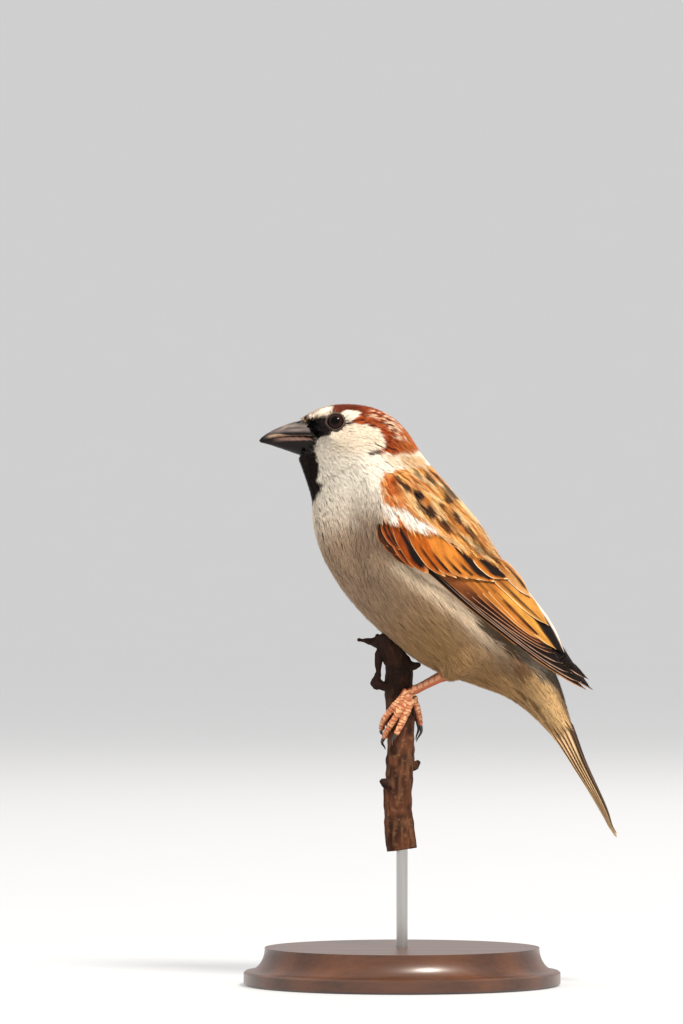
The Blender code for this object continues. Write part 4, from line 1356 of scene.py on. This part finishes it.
def make_bill():
    horn = mottled(
        "horn", 0.46, (900.0, 4.0, (0.25, 1.0, 1.0)), 0.7, 1.35, (0.25, 0.0001),
        Coat_Weight=0.03, Coat_Roughness=0.3, Specular_IOR_Level=0.18,
    )  # fmt: skip
    for half in ("upper", "lower"):
        mesh = refined(f"bill_{half}", 3)
        points, normals = points_of(mesh), normals_of(mesh)
        back = (points[:, 0] - BILL_TIP[0]) / MM
        y = aside(points)
        up = (points[:, 2] - BILL_TIP[2]) / MM
        # The jaws meet: the lower one's edges tuck up inside the upper one.
        line = BILL_TIP[2] + (0.9 * smooth(back, 0.0, 7.0) - 0.75) * MM
        over_line = (points[:, 2] - line) / MM
        offsets = np.zeros_like(points)
        if half == "upper":
            # Painted highlight: a lighter band along the bill's side, broken into patches.
            highlight_patches = noise(points * [0.12, 1, 1], 0.6 * MM, 43)
            lit = smooth(up, 1.0, 1.8) * fade(up, 2.6, 4.2) * smooth(highlight_patches, 0.1, 0.9)
            # Painted shadow: a dark line in the crease where the jaws meet.
            gape_shadow = fade(np.abs(over_line - 0.75), 0.1, 0.4) * smooth(back, 4, 7)
            high = 0.45 + 0.5 * fade(back, 4, 8)
            edge = fade(over_line, high - 0.2, high) * smooth(back, 1.5, 3.5)
            edge *= fade(back, 13, 15)
            # The nostril: a shallow pit, painted near-black as painted shade within it.
            nostril = np.hypot(back - 10.4, (up - 3.9) / 0.5)
            colours = layered(
                (72, 64, 63),
                ((142, 128, 120), lit * 0.7),
                ((40, 36, 38), smooth(up, 3.4, 4.8)),
                ((16, 13, 13), gape_shadow),
                ((170, 140, 114), edge * 0.8),
                ((20, 17, 18), fade(back, 0.6, 3.0)),
                ((12, 10, 10), fade(nostril, 0.3, 0.8)),
            )
            offsets -= normals * (fade(nostril, 0.4, 1.0) * 0.12 * MM)[:, None]
            offsets[:, 2] -= fade(over_line, 0.0, 0.7) * 0.2 * MM
        else:
            pale = smooth(over_line, -1.9 + 0.06 * back, -0.9) * smooth(back, 3, 7)
            colours = layered((19, 13, 11), ((104, 80, 72), pale))
            tuck = smooth(over_line, -0.8, -0.1)
            offsets[:, 2] += tuck * 0.5 * MM
            offsets[:, 1] -= np.sign(points[:, 1]) * tuck * np.minimum(y * 0.12, 0.35) * MM
        ridges = noise(points * [0.2, 1, 1], 0.5 * MM, 41)
        offsets += normals * ((ridges - 0.5) * 0.06 * MM)[:, None]
        flare = smooth(back, 9.5, 15.0) * fade(np.abs(over_line + 0.1), 0.8, 3.0) * 0.45 * MM
        offsets[:, 1] += np.sign(points[:, 1]) * flare * smooth(y, 1.0, 3.0)
        moved(mesh, offsets)
        make_painted(f"bill_{half}_horn", mesh, colours, horn, (f"bill_{half}",))


# ---------------------------------------------------------------- eyes

EYEBALL = 2.42 * MM
EYE_BULGE = 0.85 * MM  # how far the ball stands out of the plane of its lids
# The lids from the opening outwards, radius and height: a rolled rim, a groove and an outer fold.
LIDS = [
    (1.98, 0.90), (1.94, 1.16), (2.00, 1.34), (2.10, 1.34), (2.18, 1.18), (2.26, 1.02), (2.34, 1.04),
    (2.44, 0.96), (2.56, 0.70), (2.70, 0.3), (2.5, -0.1), (2.1, 0.5), (1.98, 0.90),
]  # fmt: skip
LID_SIZE = 1.08
UP = np.array([0.0, 0, 1])
ON_AXIS = 1e-6  # a radius too small to see, for the ends of turned profiles


def lathe(profile, segments, centre, axis):
    """Turns a profile of (radius, height) pairs round an axis through a centre."""
    profile = np.array(profile)
    turn = np.linspace(0, 2 * math.pi, segments, endpoint=False)
    side = unit(np.cross(axis, [0.3, 0.1, 1.0]))
    up = np.cross(axis, side)
    ring = side * np.cos(turn)[:, None] + up * np.sin(turn)[:, None]
    vertices = centre + ring[None] * profile[:, 0, None, None] + axis * profile[:, 1, None, None]
    index = np.arange(len(profile) * segments).reshape(len(profile), segments)
    right = np.roll(index, -1, axis=1)
    faces = np.stack([index[:-1], right[:-1], right[1:], index[1:]], -1).reshape(-1, 4)
    return vertices.reshape(-1, 3), faces


def make_eyes():
    wet = mottled(
        "eye", 0.12, (2500.0,), 0.6, 1.4,
        Coat_Weight=0.12, Coat_Roughness=0.03, Specular_IOR_Level=0.05,
    )  # fmt: skip
    lid = mottled("eyelid", 0.55, (2200.0,), 0.6, 1.3, (0.5, 0.0001))
    for side, word in SIDES:
        axis = unit(np.array([-ORBIT_BACK, side, -ORBIT_UP]))
        centre = EYE * [1, 0, 1] + [0, side * ORBIT_OUT * MM, 0] - axis * (EYEBALL - EYE_BULGE)
        turn = np.linspace(0, math.pi, 40)
        profile = np.stack([np.maximum(np.sin(turn) * EYEBALL, ON_AXIS), np.cos(turn) * EYEBALL], 1)
        vertices, faces = lathe(profile, 48, centre, axis)
        off_axis = np.repeat(profile[:, 0], 48) / MM
        colours = layered(
            (38, 19, 13),
            ((4, 3, 3), fade(off_axis, 1.15, 1.3)),
            ((14, 8, 7), smooth(off_axis, 1.75, 1.95)),
        )
        mesh = make_mesh(f"eyeball_{word}", vertices, [faces], colours)
        make_object(f"eyeball_{word}", mesh, wet, (f"eye_{word}",))

        profile = catmull(LIDS, 40) * [LID_SIZE, 1.02] * MM
        vertices, faces = lathe(profile, 72, centre, axis)
        spoke = vertices - centre - axis * ((vertices - centre) @ axis)[:, None]
        # The opening is an almond: pointed towards the bill and tail, and flatter above.
        forwards = spoke[:, 0] / np.maximum(np.linalg.norm(spoke, axis=1), 1e-9)
        corner = np.abs(forwards) ** 6 * np.where(forwards < 0, 0.13, 0.06)
        vertices = vertices + spoke * (corner - 0.02)[:, None]
        off_axis = np.repeat(profile[:, 0], 72) / MM / LID_SIZE
        colours = layered(
            (92, 74, 64),
            ((20, 13, 12), fade(off_axis, 1.99, 2.08)),
            ((22, 15, 14), smooth(off_axis, 2.14, 2.22)),
            ((96, 76, 66), smooth(off_axis, 2.30, 2.38) * fade(off_axis, 2.46, 2.56)),
        )
        mesh = make_mesh(f"eyelid_{word}", vertices, [faces[:, ::-1]], colours)
        make_object(f"eyelid_{word}", mesh, lid)


# ---------------------------------------------------------------- legs, feet and claws

TOES = ("toe2", "toe3", "toe4", "hallux")
BRANCH_RADIUS = 5.2 * MM  # of the toes' middle lines round the branch
TOE_SCALE = 1.1 * MM
TARSUS_SCALE = 1.7 * MM


class BranchAxis:
    """The middle line of the branch that the feet grip."""

    def __init__(self):
        points = points_of(cad_mesh(("perch",)))
        low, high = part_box("perch")
        self.heights = np.linspace(low.z + 1 * MM, high.z - 8 * MM, 30)
        centres = []
        for height in self.heights:
            near = points[np.abs(points[:, 2] - height) < 3.0 * MM]
            radius = np.hypot(near[:, 0] - np.median(near[:, 0]), near[:, 1] - np.median(near[:, 1]))
            near = near[radius < 5 * MM]
            centres.append((near[:, 0].min() + near[:, 0].max(), near[:, 1].min() + near[:, 1].max()))
        self.centres = np.array(centres) / 2

    def around(self, points):
        """Each point's angle round the branch, and the way straight out from the branch."""
        dx = points[:, 0] - np.interp(points[:, 2], self.heights, self.centres[:, 0])
        dy = points[:, 1] - np.interp(points[:, 2], self.heights, self.centres[:, 1])
        reach = np.hypot(dx, dy)
        return np.arctan2(dy, dx), np.stack([dx / reach, dy / reach, np.zeros(len(dx))], 1)


def half_turn(angle):
    """The same angle from minus to plus half a turn."""
    return (angle + math.pi) % (2 * math.pi) - math.pi


def grooves(along, width):
    """The grooves between scales, 1 in the middle of each, from places counted in scales."""
    return np.exp(-(((along % 1.0) - 0.5) / width) ** 2)


def claw_base(claw, foot):
    """The middle of the end of a claw that faces its toe."""
    points = points_of(cad_mesh((claw,)))
    nearest, _ = foot.nearest(points)
    gap = np.linalg.norm(points - nearest, axis=1)
    return points[gap < gap.min() + 0.25 * MM].mean(0)


def along_toes(points, turn, word, branch):
    """How far along its own toe each point lies, from the ankle."""
    ankle = points[points[:, 2] > points[:, 2].max() - 2.5 * MM].mean(0)
    centre_x, centre_y = (branch.centres[:, k].mean() for k in range(2))
    ankle_turn = math.atan2(ankle[1] - centre_y, ankle[0] - centre_x)
    start = np.array([0.0, ankle[2]])
    here = np.stack([half_turn(turn - ankle_turn) * BRANCH_RADIUS, points[:, 2]], 1) - start
    best = np.full(len(points), 1e9)
    along = np.zeros(len(points))
    for toe in TOES:
        low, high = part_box(f"claw_{toe}_{word}")
        end = np.array([(low.x + high.x) / 2, (low.y + high.y) / 2, high.z])
        swing = half_turn(branch.around(end[None])[0][0] - ankle_turn)
        run = np.array([swing * BRANCH_RADIUS, end[2]]) - start
        length = np.linalg.norm(run)
        place = np.clip(here @ run / length, 0, length)
        gap = np.linalg.norm(here - run / length * place[:, None], axis=1)
        nearer = gap < best
        best = np.where(nearer, gap, best)
        along = np.where(nearer, place, along)
    return along


def make_foot(word, skin, branch):
    """Makes a foot with its toes, and returns its surface."""
    mesh = resampled(cad_mesh((f"foot_{word}",)), 0.16 * MM, 4)
    foot = Surface(mesh)
    for toe in TOES:
        base = claw_base(f"claw_{toe}_{word}", foot)
        points = points_of(mesh)
        pull = 0.5 * fade(np.linalg.norm(points - base, axis=1), 0.4 * MM, 1.3 * MM)
        moved(mesh, (base - points) * pull[:, None])
    points, normals = points_of(mesh), normals_of(mesh)
    turn, outwards = branch.around(points)
    outer = smooth((normals * outwards).sum(1), -0.2, 0.5)
    uneven = noise(points, 1.6 * MM, 52) * 0.9 + noise(points, 0.5 * MM, 53) * 0.35
    groove = grooves(along_toes(points, turn, word, branch) / TOE_SCALE + uneven, 0.13)
    rough = noise(points, 0.45 * MM, 54) - 0.5
    moved(mesh, normals * ((rough * 0.12 - groove * outer * 0.16) * MM)[:, None])
    highlight_patches = smooth(noise(points, 0.7 * MM, 51), 0.35, 0.7)
    # Painted light and shade: pale highlights in patches on the scales away from the branch, painted shade in
    # the grooves between scales and on the side facing the branch.
    colours = layered(
        (184, 102, 60),
        ((234, 180, 132), outer * (1 - groove) * (0.15 + 0.7 * highlight_patches)),
        ((126, 56, 28), groove * outer * 0.55),
        ((128, 62, 34), 1 - outer),
    )
    make_painted(f"foot_skin_{word}", mesh, colours, skin, (f"foot_{word}",))
    return foot


def make_tarsus(word, skin):
    mesh = resampled(cad_mesh((f"tarsus_{word}",)), 0.14 * MM, 4)
    points, normals = points_of(mesh), normals_of(mesh)
    top = points[points[:, 0].argmax()]
    axis = unit(points[points[:, 0].argmin()] - top)
    along = (points - top) @ axis
    groove = grooves(along / TARSUS_SCALE, 0.07)
    front = smooth(-normals[:, 0] * 0.6 + normals[:, 2] * 0.8, -0.3, 0.3)
    # Its ends reach into the thigh and the foot.
    ends = smooth(along, along.max() - 1.0 * MM, along.max() - 0.3 * MM) * 0.5
    ends -= 1.3 * fade(along, 0.3 * MM, 1.2 * MM)
    moved(mesh, axis * ends[:, None] * MM - normals * (groove * front * 0.10 * MM)[:, None])
    # Painted light and shade: lighter faces on the front scutes, painted shade in the grooves between them.
    colours = layered(
        (178, 98, 62),
        ((224, 166, 124), front * (1 - groove) * 0.6),
        ((120, 64, 46), groove * front * 0.8),
    )
    make_painted(f"tarsus_skin_{word}", mesh, colours, skin, (f"tarsus_{word}",))


def make_claw(toe, word, horn, foot):
    """Makes a claw whose base reaches into its toe."""
    mesh = refined(f"claw_{toe}_{word}", 2)
    points = points_of(mesh)
    nearest, _ = foot.nearest(points)
    gap = np.linalg.norm(nearest - points, axis=1)[:, None]
    root = fade(gap, 0.3 * MM, 0.8 * MM)
    moved(mesh, (nearest - points) * root * (1 + 0.4 * MM / np.maximum(gap, 0.1 * MM)))
    mesh.shade_smooth()
    make_object(f"claw_horn_{toe}_{word}", mesh, horn, (f"claw_{toe}_{word}",))


def make_legs():
    skin = mottled(
        "leg_skin", 0.48, (1500.0, 4.0), 0.75, 1.25, (0.4, 0.0001),
        Subsurface_Weight=0.12, Subsurface_Scale=0.0006, Subsurface_Radius=(1.0, 0.35, 0.2),
    )  # fmt: skip
    horn = mottled(
        "claw_horn", 0.3, (900.0,), 0.5, 2.2, colour=(0.022, 0.016, 0.014),
        Coat_Weight=0.4, Coat_Roughness=0.2,
    )  # fmt: skip
    branch = BranchAxis()
    for _, word in SIDES:
        foot = make_foot(word, skin, branch)
        make_tarsus(word, skin)
        for toe in TOES:
            make_claw(toe, word, horn, foot)


# ---------------------------------------------------------------- branch and stand


def make_branch():
    bark = mottled(
        "bark", 0.85, (1200.0, 6.0, (1.0, 1.0, 0.4)), 0.45, 1.6, (0.7, 0.0004), Specular_IOR_Level=0.2
    )
    mesh = resampled(cad_mesh(("perch",)), 0.28 * MM, 3)
    points, normals = points_of(mesh), normals_of(mesh)
    above_cut = points[:, 2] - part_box("perch")[0].z
    cracks = noise(points * [1, 1, 0.28], 0.75 * MM, 31)
    knots = noise(points, 2.6 * MM, 32)
    rings = noise(points * [0.15, 0.15, 1], 1.3 * MM, 33)
    spots = smooth(noise(points * [1, 1, 1.8], 0.9 * MM, 34), 0.74, 0.82)
    # The cut foot stays flat: the bark's relief fades out near it.
    keep = smooth(above_cut, 0.2 * MM, 1.0 * MM)
    relief = (smooth(cracks, 0.4, 0.7) - 0.5) * 0.18 + (knots - 0.5) * 0.4 + (rings - 0.5) * 0.22
    moved(mesh, normals * (relief * keep * MM)[:, None])
    twigs = smooth(np.hypot(points[:, 0] + 0.5 * MM, points[:, 1] - 0.8 * MM), 4.2 * MM, 5.2 * MM)
    cut = fade(above_cut, 0.0, 0.25 * MM)
    colours = layered(
        (84, 48, 30),
        ((50, 26, 16), smooth(knots, 0.3, 0.7)),
        ((122, 84, 56), smooth(cracks, 0.5, 0.85) * 0.4),
        ((146, 112, 78), spots * 0.2),
        # Painted shadow of the bird: darker towards the top, under the belly and feet.
        ((26, 14, 9), smooth(points[:, 2], 66 * MM, 80 * MM) * 0.8),
        ((40, 23, 17), twigs),
        ((196, 164, 118), cut * smooth(-normals[:, 2], 0.5, 0.8)),
    )
    make_painted("branch", mesh, colours, bark, ("perch",))


def walnut():
    """Dark wood: growth rings and fine pores along X."""
    finish = Finish("dark_walnut", 0.36, Coat_Weight=0.35, Coat_Roughness=0.22)
    rings = finish.node(
        "ShaderNodeTexWave", wave_type="BANDS", bands_direction="Y",
        Scale=26.0, Distortion=9.0, Detail=3.0, Detail__Scale=0.6,
    )  # fmt: skip
    finish.wire(finish.place((0.25, 1.0, 1.0)), rings.inputs["Vector"])
    pores = finish.noise(900.0, 5.0, (0.08, 1.0, 1.0))
    ring_share = finish.maths("MULTIPLY", rings.outputs["Fac"], 0.35)
    both = finish.maths("ADD", ring_share, finish.maths("MULTIPLY", pores, 0.65))
    ramp = finish.node("ShaderNodeValToRGB")
    for element, colour in zip(ramp.color_ramp.elements, ((46, 26, 17), (104, 62, 38))):
        element.color = (*linear(*colour), 1)
    finish.wire(both, ramp.inputs[0])
    finish.wire(ramp.outputs[0], finish.sockets["Base Color"])
    finish.bump(pores, 0.15, 0.0002)
    return finish.material


def make_turned(name, node_name, profile, segments, centre, finish):
    """A turned piece of the stand, with its corners kept sharp."""
    vertices, faces = lathe(profile, segments, centre, UP)
    mesh = make_mesh(name, vertices, [faces])
    mesh.set_sharp_from_angle(angle=math.radians(38))
    make_object(name, mesh, finish, (node_name,))


def make_stand():
    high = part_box("stand_base")[1]
    radius, height = high.x, high.z
    foot = 3.8 * MM  # height at which the curved edge starts
    profile = [(ON_AXIS, 0.0), (radius - 0.8 * MM, 0.0), (radius, 0.6 * MM)]
    profile += [(radius, 0.9 * MM + (2.4 * MM) * k / 3) for k in range(4)]
    profile += [(radius - 0.5 * MM, 3.75 * MM)]
    for angle in np.linspace(0, math.pi / 2, 14):
        inwards = (1.0 + 4.6 * math.sin(angle)) * MM
        profile.append((radius - inwards, foot + (height - foot) * (1 - math.cos(angle))))
    profile += [(radius - 6.2 * MM, height), (radius * 0.5, height), (ON_AXIS, height)]
    make_turned("stand_base_walnut", "stand_base", profile, 160, np.zeros(3), walnut())

    steel = mottled(
        "brushed_rod", 0.3, (1500.0, 4.0, (1.0, 1.0, 0.03)), 0.8, 1.1, (0.1, 0.0001),
        (0.56, 0.55, 0.53), Metallic=1.0,
    )  # fmt: skip
    low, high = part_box("stand_rod")
    radius, tall = (high.x - low.x) / 2, high.z - low.z
    centre = np.array([(low.x + high.x) / 2, (low.y + high.y) / 2, low.z])
    profile = [(ON_AXIS, 0), (radius, 0), (radius, tall * 0.5), (radius, tall), (ON_AXIS, tall)]
    make_turned("stand_rod_steel", "stand_rod", profile, 48, centre, steel)


# ---------------------------------------------------------------- studio

FLOOR_RADIUS = 3.2
FLOOR_BEND = 1.2  # radius of the curve from the floor to the wall
WALL_TOP = 3.2


def make_stage():
    """A pale round studio: a flat floor that curves up into a wall on every side."""
    profile = [(ON_AXIS, 0.0), (0.5, 0.0), (FLOOR_RADIUS, 0.0)]
    for angle in np.linspace(0, math.pi / 2, 12)[1:]:
        outwards, upwards = math.sin(angle), 1 - math.cos(angle)
        profile.append((FLOOR_RADIUS + FLOOR_BEND * outwards, FLOOR_BEND * upwards))
    profile.append((FLOOR_RADIUS + FLOOR_BEND, WALL_TOP))
    vertices, faces = lathe(profile, 96, np.zeros(3), UP)
    mesh = make_mesh("studio", vertices, [faces])
    paper = mottled(
        "studio_paper", 0.9, (30.0,), 0.98, 1.02, colour=(0.32, 0.325, 0.335),
        Emission_Color=(1.0, 1.0, 1.0, 1), Emission_Strength=0.36,
    )  # fmt: skip
    mesh.materials.append(paper)
    linked("studio", mesh)


# Name, place, size and power in watts, colour.
SOFTBOXES = (
    ("key", (0.55, -1.0, 1.65), 0.45, 50, (1.0, 0.94, 0.84)),
    ("fill", (-1.4, -1.4, 0.7), 1.0, 8, (1.0, 0.97, 0.93)),
    ("back", (0.5, 1.3, 1.1), 0.8, 12, (1.0, 0.96, 0.90)),
    ("top", (0.0, 0.1, 1.8), 1.0, 8, (1.0, 0.97, 0.93)),
)
LIT_PLACE = Vector((0, 0, 0.11))


def make_lights():
    for name, place, size, power, colour in SOFTBOXES:
        data = bpy.data.lights.new(name, "AREA")
        data.shape = "DISK"
        data.size = size
        data.energy = power
        data.color = colour
        obj = linked(name, data)
        obj.location = place
        obj.rotation_euler = (LIT_PLACE - Vector(place)).to_track_quat("-Z", "Y").to_euler()
        obj.visible_glossy = name == "key"
    world = bpy.data.worlds.new("studio")
    world.use_nodes = True
    background = world.node_tree.nodes["Background"].inputs
    background["Color"].default_value = (1.0, 0.97, 0.94, 1)
    background["Strength"].default_value = 0.7
    bpy.context.scene.world = world
    bpy.context.scene.view_settings.view_transform = "Standard"


# The camera looks level along +Y. Its frame is a little taller than the model.
FRAME_HEIGHT = 0.2714
FRAME_CENTRE_BACK = 1.6 * MM  # from the eye towards the tail
FRAME_CENTRE_DOWN = 24.0 * MM
CAMERA_DISTANCE = 2.0


def make_camera():
    data = bpy.data.cameras.new("camera")
    data.sensor_width = 36.0
    data.lens = 36.0 * CAMERA_DISTANCE / FRAME_HEIGHT
    data.clip_start, data.clip_end = 0.1, 20.0
    camera = linked("camera", data)
    camera.location = (EYE[0] + FRAME_CENTRE_BACK, -CAMERA_DISTANCE, EYE[2] - FRAME_CENTRE_DOWN)
    camera.rotation_euler = (math.radians(90), 0, 0)
    bpy.context.scene.camera = camera


# ---------------------------------------------------------------- all of it

SKIN = feather_material("skin", False)
DOWN = feather_material("down", False)
VANE = feather_material("vane", True)

WING_SURFACE = Surface(cad_mesh(WINGS))
make_skin()
envelope = Surface(closed_surface(BODY + WINGS + ("tail",)))
make_coat(envelope)
for wing_side, wing_word in SIDES:
    make_wing(wing_side, wing_word)
make_tail()
make_bill()
make_eyes()
make_legs()
make_branch()
make_stand()
make_stage()
make_lights()
make_camera()
